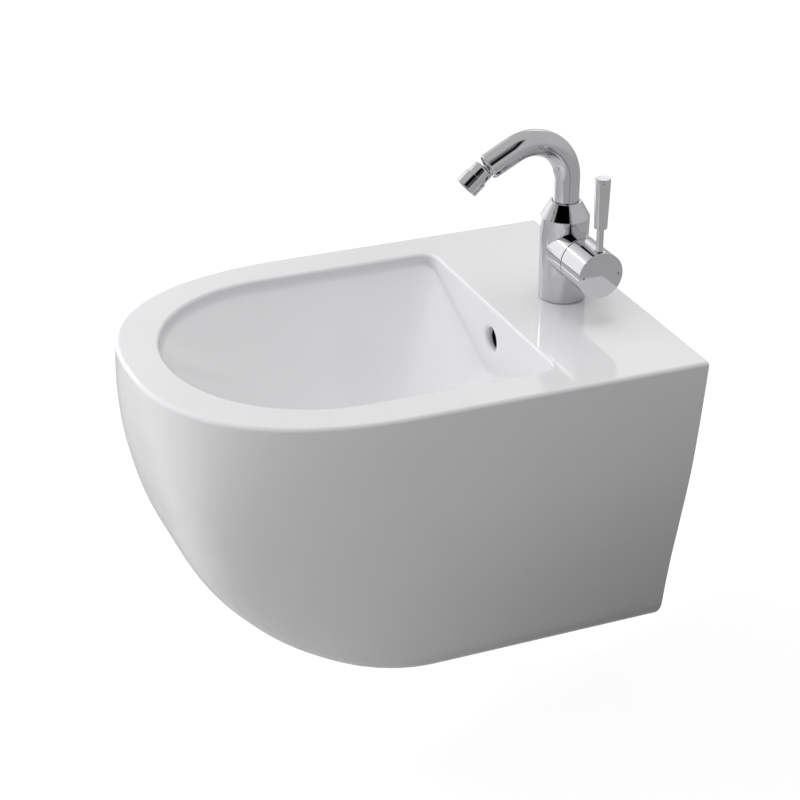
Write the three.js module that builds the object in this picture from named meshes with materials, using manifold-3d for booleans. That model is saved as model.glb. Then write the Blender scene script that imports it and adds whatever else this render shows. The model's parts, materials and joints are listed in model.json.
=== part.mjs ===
// Wall-hung bidet with a single-lever mixer tap, a swivelling spout and a ball-jointed aerator.
// Millimetres, +Z up. The wall is the plane y = 0 and the bidet reaches out towards -Y.
// The origin lies on the wall face, on the centre line, at the height of the two wall studs.

import * as THREE from 'three';
import { mergeVertices } from 'three/addons/utils/BufferGeometryUtils.js';
import Module from 'manifold-3d';

const wasm = await Module();
wasm.setup();

// Fits shared by all pieces
const seatGap = 0.3;
const slideGap = 0.4;
const overrun = 3;
const weldDistance = 0.0001;

// Facets round a full turn, and steps along the rounded stretches of a profile
const showSides = 24;
const wideSides = 20;
const midSides = 14;
const smallSides = 8;
const tinySides = 6;
const cornerSteps = 4;
const edgeSteps = 3;
const ballSteps = 7;
const socketSteps = 4;
const plateSteps = 9;

// Ceramic: outside
const bodyWidth = 360;
const bodyReach = 485;
const bodyHeight = 306;
const rimAboveStuds = 75;
const sideStraight = 265;
const topEdgeRadius = 4;
const bottomEdgeRadius = 24;
const wall = 11;
const rearWall = 12;
const rimThickness = 18;

// Ceramic: how the outside narrows from the rim down, as shares of the size at the rim
const heightShares = [0, 0.2, 0.4, 0.6, 0.75, 0.88, 0.96, 1];
const widthShares = [1, 0.957, 0.904, 0.828, 0.769, 0.727, 0.706, 0.694];
const reachShares = [1, 0.989, 0.967, 0.926, 0.858, 0.764, 0.66, 0.58];
const bendHeightShares = [0, 0.5, 1];
const straightShares = [1, 0.84, 0.824];
const noseExponents = [2.41, 4.29, 3.75];
const rowShares = [0.15, 0.3, 0.44, 0.56, 0.67, 0.77, 0.85];
const hollowRowShares = [0.3, 0.52, 0.7, 0.84];

// Ceramic: bowl
const deckDepth = 131.7;
const rimSideWidth = 40.7;
const rimFrontWidth = 36.5;
const bowlStraight = 309.5;
const bowlNoseExponent = 2.06;
const bowlCornerRadius = 14;
const bowlEdgeRadius = 5;
const lipDepth = 15;
const lipDraft = 0.8;
const rearWallDepth = 76;
const valleyRadius = 16;
const bowlDepth = 104;
const bowlCurve = 1.25;
const dishShares = [0.8, 0.6, 0.4, 0.2, 0];
const underdishShares = [0.6, 0];

// Ceramic: waste hole, overflow and openings
const wasteSetback = 235;
const wasteSeatRadius = 34;
const wasteRecessRadius = 32.5;
const wasteSeatDepth = 4;
const wasteHoleRadius = 23;
const wasteBossRadius = 37;
const wasteBossDepth = 34;
const overflowRadius = 11.5;
const overflowDepth = 33.6;
const ductDepth = 12;
const ductWidth = 34;
const ductWall = 7;
const ductTop = 21;
const ductBend = 96;
const ductMouthHeight = 11;
const tapSetback = 58;
const tapHoleRadius = 17.5;
const studSpacing = 180;
const studHoleRadius = 8;
const studPadRadius = 21;
const studPadDepth = 8;
const windowWidth = 128;
const windowTop = 36;
const windowHeight = 150;
const windowRadius = 14;
const hatchWidth = 168;
const hatchRear = 34;
const hatchLength = 196;
const hatchRadius = 24;

// Wall fixings
const studRadius = 5.9;
const studReach = 46;
const sleeveWall = 1.3;
const sleeveFlangeRadius = 12;
const sleeveFlange = 2;
const studWasherRadius = 14;
const studWasher = 2.5;
const studNutFlats = 19;
const studNutHeight = 10;

// Waste fitting
const wasteFlangeRadius = 31;
const wasteFlange = 2.2;
const wasteTubeRadius = 20.8;
const wasteTubeWall = 3.4;
const wasteTubeLength = 82;
const wasteFlangeDish = 5;
const wasteSlotWidth = 13;
const wasteSlotHeight = 11;
const wasteSlotCount = 4;
const wasteSealHeight = 1.4;
const lowerSealHeight = 5;
const lowerSealRadius = 29;
const lowerWasherHeight = 2;
const backNutHeight = 9;
const backNutRadius = 31;
const backNutLugs = 6;
const backNutLug = 3;
const spiderDrop = 28;
const spiderHeight = 4;
const spiderBar = 3.4;
const spiderHubRadius = 7.6;
const latchRadius = 5;
const latchLength = 22;
const plugStemRadius = 2.8;
const plugStemLength = 40;
const plugCapRadius = 28;
const plugCapEdge = 2;
const plugCapRise = 3.2;
const plugCrownShares = [[1, 0.3], [0.7, 0.75], [0.35, 0.94], [0, 1]];
const plugCapWall = 2.4;
const plugRecessRadius = 24.5;
const plugSealRadius = 21.2;
const plugSealHeight = 1.6;

// Tap body
const tapBaseRadius = 22.2;
const tapShoulderRadius = 23.3;
const tapShoulderHeight = 82;
const tapNeckRadius = 14.9;
const tapNeckHeight = 97;
const tapEdge = 0.6;
const baseSealRadius = 19.6;
const baseSealSection = 1.1;
const hubHeight = 50.5;
const bossRadius = 22.3;
const bossReach = 37.4;
const bossChamfer = 0.6;
const inletSetback = 11.2;
const inletSpread = 5.3;
const inletThreadRadius = 4.6;
const inletThreadDepth = 12;
const waterwayRadius = 2.9;
const portDrop = 5.5;
const outletRise = 9;
const fixingStudRadius = 3.9;
const fixingStudOffset = 9;
const fixingStudGrip = 13;
const fixingStudReach = 30;
const fixingPlateRadius = 24;
const fixingPlateSlot = 21;
const fixingPlateHeight = 3;
const fixingNutFlats = 13;
const fixingNutHeight = 9;

// Spout
const spoutRadius = 12.4;
const spoutBore = 9.8;
const spoutBendHeight = 120;
const spoutBendRadius = 38;
const spoutBend = 118.1;
const spoutTail = 28.2;
const spoutMouthChamfer = 0.9;
const bendSteps = 13;
const shankRadius = 10.5;
const shankBore = 6.4;
const socketDepth = 24;
const collarRecess = 4;
const bushHeight = 1;
const sealGrooveDepth = 1.8;
const sealGrooveWidth = 2.4;
const sealRise = 9;
const sealPitch = 5;
const sealSection = 0.82;
const retainGrooveDepth = 2.2;
const retainGrooveWidth = 4.4;
const retainRise = 3.4;
const spoutScrewRadius = 1.9;

// Ball-jointed nozzle
const mouthBore = 10.3;
const adapterDepth = 8;
const adapterRecess = 0.8;
const adapterNeckRadius = 3.6;
const adapterBore = 2.2;
const ballRadius = 6.5;
const ballReach = 8;
const nozzleDroop = 14;
const ballSeatWall = 1;
const ballSeatRearAngle = -22;
const ballSeatFrontAngle = 38;
const ballGap = 0.36;
const collarRadius = 10;
const collarRear = 5.2;
const collarFront = 5.4;
const collarRearRadius = 7.4;
const spigotRadius = 9.2;
const spigotLength = 3;
const shellRadius = 11.4;
const shellLength = 14;
const shellWall = 1.9;
const shellLip = 1.2;
const shellLipWidth = 1.1;
const shellChamfer = 0.8;
const aeratorLength = 8;
const aeratorRecess = 1.4;
const aeratorHoleRadius = 1.1;
const aeratorRingRadius = 5.2;
const aeratorHoles = 6;
const aeratorWasher = 1.2;
const aeratorWasherBore = 6.4;

// Cartridge: distances run outwards from the tap axis along the hub axis
const seatOffset = 7;
const cartridgeRadius = 17.3;
const cartridgeBase = 4.7;
const cartridgeCavity = 15.1;
const cartridgeTop = 26.2;
const cartridgeLid = 3.2;
const rotorHoleRadius = 11.7;
const portSealRadius = 3.7;
const portSealSection = 0.7;
const fixedDiscRadius = 14.6;
const movingDiscRadius = 10;
const discHeight = 3.5;
const carrierHeight = 6;
const rotorHeight = 10.4;
const rotorNeck = 4.6;
const pivotOffset = 18;
const tiltAngle = 25;
const pinRadius = 2;
const pinLength = 24;
const spindleSize = 8;
const spindleReach = 66;
const spindleArm = 9;
const spindleBall = 2.7;
const spindleNeck = 3.2;
const lockNutHeight = 7;
const lockNutBore = 13.6;
const lockNutRadius = 19.3;
const lockNutSlot = 3.2;

// Handle
const handleRadius = 22.3;
const handleRear = 38.6;
const handleFront = 75.8;
const handleSkirt = 1.1;
const handleBevel = 0.5;
const handleCavity = 56;
const handleCoreRadius = 9;
const handleCoreRear = 52;
const leverOffset = 70;
const stemRadius = 3.3;
const stemSink = 9;
const stemShown = 22.9;
const stemGrip = 8;
const stemCounterbore = 1.1;
const gripLength = 48;
const gripFootRadius = 6.1;
const gripHeadRadius = 7.2;
const gripBevel = 1.1;
const gripGroove = 0.35;
const gripGrooveDrop = 3.2;
const handleScrewOffset = 60;
const handleScrewRadius = 2.2;
const handleScrewLength = 8;
const markRadius = 0.9;
const markDepth = 1.6;
const markSpread = 17.6;

const halfWidth = bodyWidth / 2;
const rimTop = rimAboveStuds;
const radians = THREE.MathUtils.degToRad;

// Finishes
const finish = (color, roughness, metalness) =>
  new THREE.MeshStandardMaterial({ color, roughness, metalness });
const glaze = finish(0xf1f1f2, 0.08, 0);
const chrome = finish(0xc9cbce, 0.06, 1);
const brass = finish(0xc2a14e, 0.3, 1);
const steel = finish(0xa9abad, 0.35, 1);
const rubber = finish(0x1c1c1e, 0.8, 0);
const whitePlastic = finish(0xe6e6e2, 0.45, 0);
const greyPlastic = finish(0x5c6068, 0.5, 0);
const discCeramic = finish(0xe9e2d2, 0.2, 0);
const blueEnamel = finish(0x1d3a6b, 0.3, 0);
const redEnamel = finish(0x6b1d20, 0.3, 0);

// Turns a closed geometry into a solid, with its faces pointing out.
function solid(geometry) {
  const loose = geometry.index ? geometry.toNonIndexed() : geometry.clone();
  loose.deleteAttribute('normal');
  loose.deleteAttribute('uv');
  const merged = mergeVertices(loose, weldDistance);
  const place = merged.getAttribute('position').array;
  const corner = (index) => new THREE.Vector3().fromArray(place, index * 3);
  const faces = [];
  let volume = 0;
  for (let i = 0; i < merged.index.count; i += 3) {
    const [a, b, c] = [0, 1, 2].map((k) => merged.index.getX(i + k));
    if (a === b || b === c || c === a) continue;
    faces.push([a, b, c]);
    volume += corner(a).dot(corner(b).cross(corner(c)));
  }
  const ordered = faces.map(([a, b, c]) => (volume < 0 ? [a, c, b] : [a, b, c]));
  return new wasm.Manifold(new wasm.Mesh({
    numProp: 3,
    vertProperties: Float32Array.from(place),
    triVerts: Uint32Array.from(ordered.flat()),
  }));
}

const join = (first, ...others) => others.reduce((sum, next) => sum.add(next), first);
const cut = (first, ...others) => others.reduce((rest, next) => rest.subtract(next), first);

function piece(name, body, material) {
  const mesh = body.getMesh();
  const geometry = new THREE.BufferGeometry();
  geometry.setAttribute('position', new THREE.BufferAttribute(Float32Array.from(mesh.vertProperties), 3));
  geometry.setIndex(new THREE.BufferAttribute(Uint32Array.from(mesh.triVerts), 1));
  geometry.computeVertexNormals();
  const result = new THREE.Mesh(geometry, material);
  result.name = name;
  return result;
}

function group(position, rotation, ...children) {
  const result = new THREE.Group();
  result.position.set(...position);
  result.rotation.set(...rotation);
  result.add(...children);
  return result;
}

// A surface of revolution about Z. The profile is a list of [radius, height].
function lathe(profile, sides = midSides) {
  const points = profile.map(([radius, height]) => new THREE.Vector2(radius, height));
  return new THREE.LatheGeometry(points, sides).rotateX(Math.PI / 2);
}

const turned = (profile, sides = midSides) => solid(lathe(profile, sides));

// A ring turned from a profile that closes on itself.
const ring = (profile, sides = midSides) => turned([...profile, profile[0]], sides);

function rod(radius, low, high, sides = midSides, x = 0, y = 0) {
  const bar = new THREE.CylinderGeometry(radius, radius, high - low, sides).rotateX(Math.PI / 2);
  return solid(bar.translate(x, y, (low + high) / 2));
}

const tube = (outer, inner, low, high, sides = midSides) =>
  ring([[inner, low], [outer, low], [outer, high], [inner, high]], sides);

// A rod laid along X or Y between two places on that axis.
function crossRod(axis, radius, from, to, x, y, z, sides = smallSides) {
  const bar = new THREE.CylinderGeometry(radius, radius, Math.abs(to - from), sides);
  if (axis === 'x') bar.rotateZ(Math.PI / 2);
  const middle = (from + to) / 2;
  bar.translate(axis === 'x' ? middle : x, axis === 'y' ? middle : y, z);
  return solid(bar);
}

function block(sizeX, sizeY, sizeZ, x = 0, y = 0, z = 0) {
  return solid(new THREE.BoxGeometry(sizeX, sizeY, sizeZ).translate(x, y, z));
}

function hexNut(flats, bore, low, high) {
  const hexagon = rod(flats / Math.sqrt(3), low, high, tinySides);
  return cut(hexagon, rod(bore, low - overrun, high + overrun));
}

// Points of an arc in a turned profile, as [radius, height] about a centre.
function arc(centreRadius, centreHeight, radius, from, to, steps) {
  return Array.from({ length: steps + 1 }, (_, k) => {
    const angle = radians(from + ((to - from) * k) / steps);
    return [centreRadius + radius * Math.cos(angle), centreHeight + radius * Math.sin(angle)];
  });
}

const oRing = (radius, section, height, sides = midSides) =>
  turned(arc(radius, height, section, 0, 360, tinySides), sides);

// A closed skin through rings of equal length, fanned shut at both ends.
function loft(rings) {
  const count = rings[0].length;
  const centre = (points) => points.reduce((sum, p) => sum.add(p), new THREE.Vector3()).divideScalar(count);
  const points = [...rings.flat(), centre(rings[0]), centre(rings[rings.length - 1])];
  const first = rings.length * count;
  const faces = [];
  for (let k = 0; k < count; k += 1) {
    const next = (k + 1) % count;
    for (let row = 0; row < rings.length - 1; row += 1) {
      const [a, b] = [row * count + k, row * count + next];
      faces.push(a, b, a + count, b, b + count, a + count);
    }
    const last = first - count;
    faces.push(first, next, k, first + 1, last + k, last + next);
  }
  const skin = new THREE.BufferGeometry().setFromPoints(points);
  skin.setIndex(faces);
  return solid(skin);
}

function roundedSlab(width, length, radius, depth) {
  const [x, y] = [width / 2, length / 2];
  const outline = new THREE.Shape();
  const corners = [[x, y, 0], [-x, y, 90], [-x, -y, 180], [x, -y, 270]];
  for (const [cornerX, cornerY, start] of corners) {
    const centreX = cornerX - Math.sign(cornerX) * radius;
    const centreY = cornerY - Math.sign(cornerY) * radius;
    outline.absarc(centreX, centreY, radius, radians(start), radians(start + 90));
  }
  return new THREE.ExtrudeGeometry(outline, { depth, bevelEnabled: false, curveSegments: cornerSteps });
}

// Ceramic: outside
// How many facets follow each stretch of an outline: fine where it shows, coarse where it is hidden.
const fine = {
  side: 2, nose: 24, rear: 6, corner: 3, edge: 3, bottom: 3, rows: rowShares, dish: dishShares,
};
const coarse = {
  side: 1, nose: 12, rear: 4, corner: 1, edge: 1, bottom: 1, rows: hollowRowShares, dish: underdishShares,
};

function superellipse(width, straight, reach, exponent, steps) {
  const points = [];
  for (let k = 0; k <= steps; k += 1) {
    const angle = (Math.PI * k) / steps;
    const across = Math.abs(Math.cos(angle)) ** (2 / exponent) * Math.sign(Math.cos(angle));
    const along = Math.abs(Math.sin(angle)) ** (2 / exponent);
    points.push([width * across, -straight - (reach - straight) * along]);
  }
  return points;
}

// The D-shaped outline of the body at one height, from the rear corner on +X round to the wall.
function bodyOutline(width, straight, reach, exponent, rear, detail) {
  const flank = (side) => Array.from({ length: detail.side }, (_, k) =>
    [side * width, -rear - ((straight - rear) * k) / detail.side]);
  const back = Array.from({ length: detail.rear - 1 }, (_, k) =>
    [-width + (2 * width * (k + 1)) / detail.rear, -rear]);
  const nose = superellipse(width, straight, reach, exponent, detail.nose);
  return [...flank(1), ...nose, ...flank(-1).reverse(), ...back];
}

const paired = (first, second) => first.flatMap((value, k) => [value, second[k]]);
const taper = new THREE.CubicInterpolant(heightShares, paired(widthShares, reachShares), 2);
const bend = new THREE.CubicInterpolant(bendHeightShares, paired(straightShares, noseExponents), 2);

function bodyRing(share, inset, rear, height, detail) {
  const [widthShare, reachShare] = taper.evaluate(share);
  const [straightShare, exponent] = bend.evaluate(share);
  const width = halfWidth * widthShare - inset;
  const reach = bodyReach * reachShare - inset;
  const outline = bodyOutline(width, sideStraight * straightShare, reach, exponent, rear, detail);
  return outline.map(([x, y]) => new THREE.Vector3(x, y, height));
}

// The outside of the ceramic, or the same form drawn in by a wall for its hollow.
function bodyForm(inset, rear, topDepth, bottomRise, topRadius, bottomRadius, detail) {
  const rings = [];
  const addRing = (depth, draw) =>
    rings.push(bodyRing(depth / bodyHeight, inset + draw, rear, rimTop - depth, detail));
  for (let k = 0; k <= detail.edge; k += 1) {
    const angle = (Math.PI / 2) * (k / detail.edge);
    addRing(topDepth + topRadius * (1 - Math.cos(angle)), topRadius * (1 - Math.sin(angle)));
  }
  const bottomStart = bodyHeight - bottomRise - bottomRadius;
  const rows = detail.rows.map((share) => share * bodyHeight);
  for (const depth of rows.filter((d) => d > topDepth + topRadius && d < bottomStart)) addRing(depth, 0);
  for (let k = 0; k <= detail.bottom; k += 1) {
    const angle = (Math.PI / 2) * (k / detail.bottom);
    addRing(bottomStart + bottomRadius * Math.sin(angle), bottomRadius * (1 - Math.cos(angle)));
  }
  return loft(rings);
}

// Ceramic: bowl
function bowlOutline(grow, detail) {
  const width = halfWidth - rimSideWidth + grow;
  const reach = bodyReach - rimFrontWidth + grow;
  const rear = deckDepth - grow;
  const radius = bowlCornerRadius + grow;
  const sideStart = rear + radius;
  const corner = (side) => Array.from({ length: detail.corner + 1 }, (_, k) => {
    const angle = (Math.PI / 2) * (k / detail.corner);
    return [side * (width - radius + radius * Math.sin(angle)), -sideStart + radius * Math.cos(angle), true];
  });
  const flank = (side) => Array.from({ length: detail.side - 1 }, (_, k) =>
    [side * width, -sideStart - ((bowlStraight - sideStart) * (k + 1)) / detail.side]);
  const nose = superellipse(width, bowlStraight, reach, bowlNoseExponent, detail.nose);
  const rearX = width - radius;
  const back = Array.from({ length: detail.rear - 1 }, (_, k) =>
    [-rearX + (2 * rearX * (k + 1)) / detail.rear, -rear, true]);
  return [...corner(1), ...flank(1), ...nose, ...flank(-1).reverse(), ...corner(-1).reverse(), ...back];
}

// Depth at which the upright lip or rear wall of the bowl gives way to the dished floor.
function floorEdgeDepth(x, atRear) {
  if (!atRear) return lipDepth;
  const reach = halfWidth - rimSideWidth;
  const across = Math.hypot(x, valleyRadius) * (reach / Math.hypot(reach, valleyRadius));
  return lipDepth + (rearWallDepth - lipDepth) * Math.max(0, 1 - across / reach);
}

function bowlForm(grow, detail) {
  const centreY = -wasteSetback;
  const outline = bowlOutline(grow, detail);
  const upright = (offset, depth) => bowlOutline(grow + offset, detail).map(([x, y]) =>
    new THREE.Vector3(x, y, rimTop - depth));
  const rings = [upright(bowlEdgeRadius, -overrun)];
  for (let k = 0; k <= detail.edge; k += 1) {
    const angle = (Math.PI / 2) * (k / detail.edge);
    rings.push(upright(bowlEdgeRadius * (1 - Math.sin(angle)), bowlEdgeRadius * (1 - Math.cos(angle))));
  }
  for (const share of [1, ...detail.dish]) {
    rings.push(outline.map(([x, y, atRear]) => {
      const draft = atRear ? 0 : lipDraft;
      const away = new THREE.Vector2(x, y - centreY);
      const radius = (away.length() - draft) * share + (wasteSeatRadius + grow) * (1 - share);
      const edge = floorEdgeDepth(x, atRear) + grow;
      const depth = edge + (bowlDepth + grow - edge) * (1 - share ** bowlCurve);
      away.setLength(radius);
      return new THREE.Vector3(away.x, centreY + away.y, rimTop - depth);
    }));
  }
  return loft(rings);
}

// An extrusion across the body, from an outline of [y, depth] points.
function acrossBody(outline, width) {
  const shape = new THREE.Shape(outline.map(([y, depth]) => new THREE.Vector2(y, rimTop - depth)));
  const bar = new THREE.ExtrudeGeometry(shape, { depth: width, bevelEnabled: false });
  return solid(bar.rotateY(Math.PI / 2).rotateX(Math.PI / 2).translate(-width / 2, 0, 0));
}

// The overflow duct runs down behind the rear wall and forward under the floor to the waste hole.
function overflowDuct(grow) {
  const front = -deckDepth + wall - seatGap;
  const back = front + ductDepth;
  const mouth = -wasteSetback + wasteHoleRadius - ductWall / 2;
  const mouthTop = bowlDepth + wasteSeatDepth + ductWall;
  const outline = [
    [front - grow, ductTop - grow],
    [back + grow, ductTop - grow],
    [back + grow, ductBend + grow],
    [mouth, mouthTop + ductMouthHeight + grow],
    [mouth, mouthTop - grow],
    [front - grow, ductBend - ductMouthHeight + grow / 2],
  ];
  return acrossBody(outline, ductWidth + 2 * grow);
}

function ceramicBody() {
  const wasteTop = rimTop - bowlDepth;
  const bossLow = wasteTop - wasteSeatDepth - wasteBossDepth;
  const upright = (radius, low, high, x, y, sides) => rod(radius, low, high, sides, x, y);
  const throughDeck = [rimTop - rimThickness - overrun, rimTop + overrun];
  let hollow = bodyForm(wall, rearWall, rimThickness, wall, topEdgeRadius, bottomEdgeRadius - wall, coarse);
  hollow = cut(hollow, bowlForm(wall, coarse), overflowDuct(ductWall),
    upright(wasteBossRadius, bossLow, wasteTop, 0, -wasteSetback, wideSides));
  for (const side of [-1, 1]) {
    const padReach = -rearWall - studPadDepth;
    const x = (side * studSpacing) / 2;
    hollow = cut(hollow, crossRod('y', studPadRadius, 0, padReach, x, 0, 0, midSides));
  }
  const hatch = roundedSlab(hatchWidth, hatchLength, hatchRadius, wall + 2 * overrun)
    .translate(0, -hatchRear - hatchLength / 2, rimTop - bodyHeight - overrun);
  const window = roundedSlab(windowWidth, windowHeight, windowRadius, rearWall + 2 * overrun)
    .rotateX(Math.PI / 2).translate(0, overrun, -windowTop - windowHeight / 2);
  const overflowZ = rimTop - overflowDepth;
  const bowlRear = -deckDepth;
  let body = bodyForm(0, 0, 0, 0, topEdgeRadius, bottomEdgeRadius, fine);
  body = cut(body, hollow, bowlForm(0, fine), solid(hatch), solid(window), overflowDuct(0));
  body = cut(body,
    crossRod('y', overflowRadius, bowlRear - overrun, bowlRear + wall + overrun, 0, 0, overflowZ, midSides),
    upright(wasteRecessRadius, wasteTop - wasteSeatDepth, wasteTop + overrun, 0, -wasteSetback, wideSides),
    upright(wasteHoleRadius, bossLow - overrun, wasteTop, 0, -wasteSetback, wideSides),
    upright(tapHoleRadius, ...throughDeck, 0, -tapSetback, wideSides));
  for (const side of [-1, 1]) {
    const inner = -rearWall - studPadDepth - overrun;
    const x = (side * studSpacing) / 2;
    body = cut(body, crossRod('y', studHoleRadius, overrun, inner, x, 0, 0, midSides));
  }
  return body;
}

// Wall fixing: local +Z points from the wall into the body
function wallFixing(side) {
  const seat = rearWall + studPadDepth + seatGap;
  const flangeTop = seat + sleeveFlange;
  const washerLow = flangeTop + seatGap;
  const nutLow = washerLow + studWasher + seatGap;
  const bore = studRadius + slideGap;
  const sleeveRadius = bore + sleeveWall;
  const washerTop = washerLow + studWasher;
  return [
    piece(`${side}_wall_stud`, rod(studRadius, 0, studReach), steel),
    piece(`${side}_stud_sleeve`, ring([
      [bore, seatGap], [sleeveRadius - seatGap, seatGap], [sleeveRadius - seatGap, seat],
      [sleeveFlangeRadius, seat], [sleeveFlangeRadius, flangeTop], [bore, flangeTop]]), whitePlastic),
    piece(`${side}_stud_washer`, tube(studWasherRadius, bore, washerLow, washerTop), steel),
    piece(`${side}_stud_nut`, hexNut(studNutFlats, bore, nutLow, nutLow + studNutHeight), steel),
  ];
}

// Waste fitting: z = 0 on the seat in the bowl floor
const flangeLow = wasteSealHeight + 2 * seatGap;
const flangeTop = flangeLow + wasteFlange;
const wasteBore = wasteTubeRadius - wasteTubeWall;
const wasteEnd = -wasteTubeLength;
const latchTop = -spiderDrop + spiderHeight / 2;

function wasteBody() {
  const body = ring([
    [wasteTubeRadius, wasteEnd], [wasteTubeRadius, flangeLow], [wasteFlangeRadius, flangeLow],
    [wasteFlangeRadius, flangeTop - tapEdge], [wasteFlangeRadius - tapEdge, flangeTop],
    [wasteBore + wasteFlangeDish, flangeTop], [wasteBore, flangeTop - wasteFlangeDish],
    [wasteBore, wasteEnd]], wideSides);
  const slotTop = -ductWall - seatGap;
  const slotReach = 2 * (wasteTubeRadius + overrun);
  let result = body;
  for (let k = 0; k < wasteSlotCount / 2; k += 1) {
    const slot = new THREE.BoxGeometry(wasteSlotWidth, slotReach, wasteSlotHeight);
    slot.rotateZ((2 * Math.PI * k) / wasteSlotCount).translate(0, 0, slotTop - wasteSlotHeight / 2);
    result = cut(result, solid(slot));
  }
  const bars = [0, 1].map((k) => {
    const bar = new THREE.BoxGeometry(spiderBar, 2 * wasteBore + wasteTubeWall, spiderHeight);
    return solid(bar.rotateZ((Math.PI / 2) * k).translate(0, 0, -spiderDrop));
  });
  const hub = rod(spiderHubRadius, -spiderDrop - spiderHeight / 2, latchTop, midSides);
  const hole = rod(latchRadius + slideGap, -spiderDrop - spiderHeight, latchTop + overrun, midSides);
  return cut(join(result, ...bars, hub), hole);
}

function plugCap() {
  const low = flangeTop + seatGap;
  const edgeTop = low + plugCapEdge;
  const shoulderRadius = plugCapRadius - plugCapEdge;
  const underside = low + plugCapWall / 2;
  return turned([
    [0, underside], [plugRecessRadius, underside], [plugRecessRadius + plugCapEdge / 2, low],
    [plugCapRadius, low], [plugCapRadius, edgeTop - tapEdge],
    ...plugCrownShares.map(([across, up]) => [shoulderRadius * across, edgeTop + plugCapRise * up])],
  wideSides);
}

function wasteFitting() {
  const bossLow = -wasteBossDepth;
  const sealTop = bossLow - seatGap;
  const sealLow = sealTop - lowerSealHeight;
  const washerTop = sealLow - seatGap;
  const washerLow = washerTop - lowerWasherHeight;
  const nutTop = washerLow - seatGap;
  const nutLow = nutTop - backNutHeight;
  const bore = wasteTubeRadius + slideGap;
  const capUnderside = flangeTop + seatGap + plugCapWall / 2;
  const sealHigh = capUnderside - seatGap;
  const stemTop = sealHigh - plugSealHeight - seatGap;
  const latchLow = latchTop - latchLength;
  const latchHigh = latchTop + spiderHeight;
  let nut = tube(backNutRadius - backNutLug, bore, nutLow, nutTop, wideSides);
  for (let k = 0; k < backNutLugs; k += 1) {
    const lug = new THREE.BoxGeometry(2 * backNutLug, 2 * backNutLug, backNutHeight);
    lug.translate(backNutRadius - backNutLug, 0, (nutLow + nutTop) / 2);
    nut = join(nut, solid(lug.rotateZ((2 * Math.PI * k) / backNutLugs)));
  }
  const floor = sealHigh - plugSealHeight;
  const plugLow = [[0, stemTop - plugStemLength], [plugStemRadius, stemTop - plugStemLength]];
  return [
    piece('waste_body', wasteBody(), chrome),
    piece('waste_top_seal',
      tube(wasteFlangeRadius - tapEdge, bore, seatGap, seatGap + wasteSealHeight, wideSides), rubber),
    piece('waste_lower_seal', ring([
      [bore, sealLow], [lowerSealRadius, sealLow], [lowerSealRadius, sealTop - lowerSealHeight / 2],
      [wasteHoleRadius + slideGap, sealTop], [bore, sealTop]], wideSides), rubber),
    piece('waste_lower_washer', tube(lowerSealRadius, bore, washerLow, washerTop, wideSides), whitePlastic),
    piece('waste_back_nut', nut, whitePlastic),
    piece('plug_latch', cut(rod(latchRadius, latchLow, latchHigh),
      rod(plugStemRadius + slideGap, latchLow + overrun, latchHigh + overrun)), greyPlastic),
    piece('plug_cap', plugCap(), chrome),
    piece('plug_seal', tube(plugSealRadius, spiderHubRadius, floor, sealHigh, wideSides), rubber),
    piece('plug_stem', turned([...plugLow, [plugStemRadius, floor], [spiderHubRadius - slideGap, floor],
      [spiderHubRadius - slideGap, sealHigh], [0, sealHigh]]), brass),
  ];
}

// Tap: z = 0 on the deck, on the tap axis
const baseLow = seatGap + tapEdge / 2;
const socketLow = tapNeckHeight - socketDepth;
const recessLow = tapNeckHeight - collarRecess;
const spoutShoulder = recessLow + bushHeight + 2 * seatGap;
const shankLow = socketLow + 2 * seatGap;
const retainMiddle = shankLow + retainRise;
const socketRadius = shankRadius + seatGap;
const lockNutLow = cartridgeTop + seatGap;
const cartridgeFrame = [0, Math.PI / 2, 0];

// Turns a shape drawn along Z from the tap axis into line with the hub axis.
const onHubAxis = (geometry) => solid(geometry.rotateY(Math.PI / 2).translate(0, 0, hubHeight));

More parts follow.
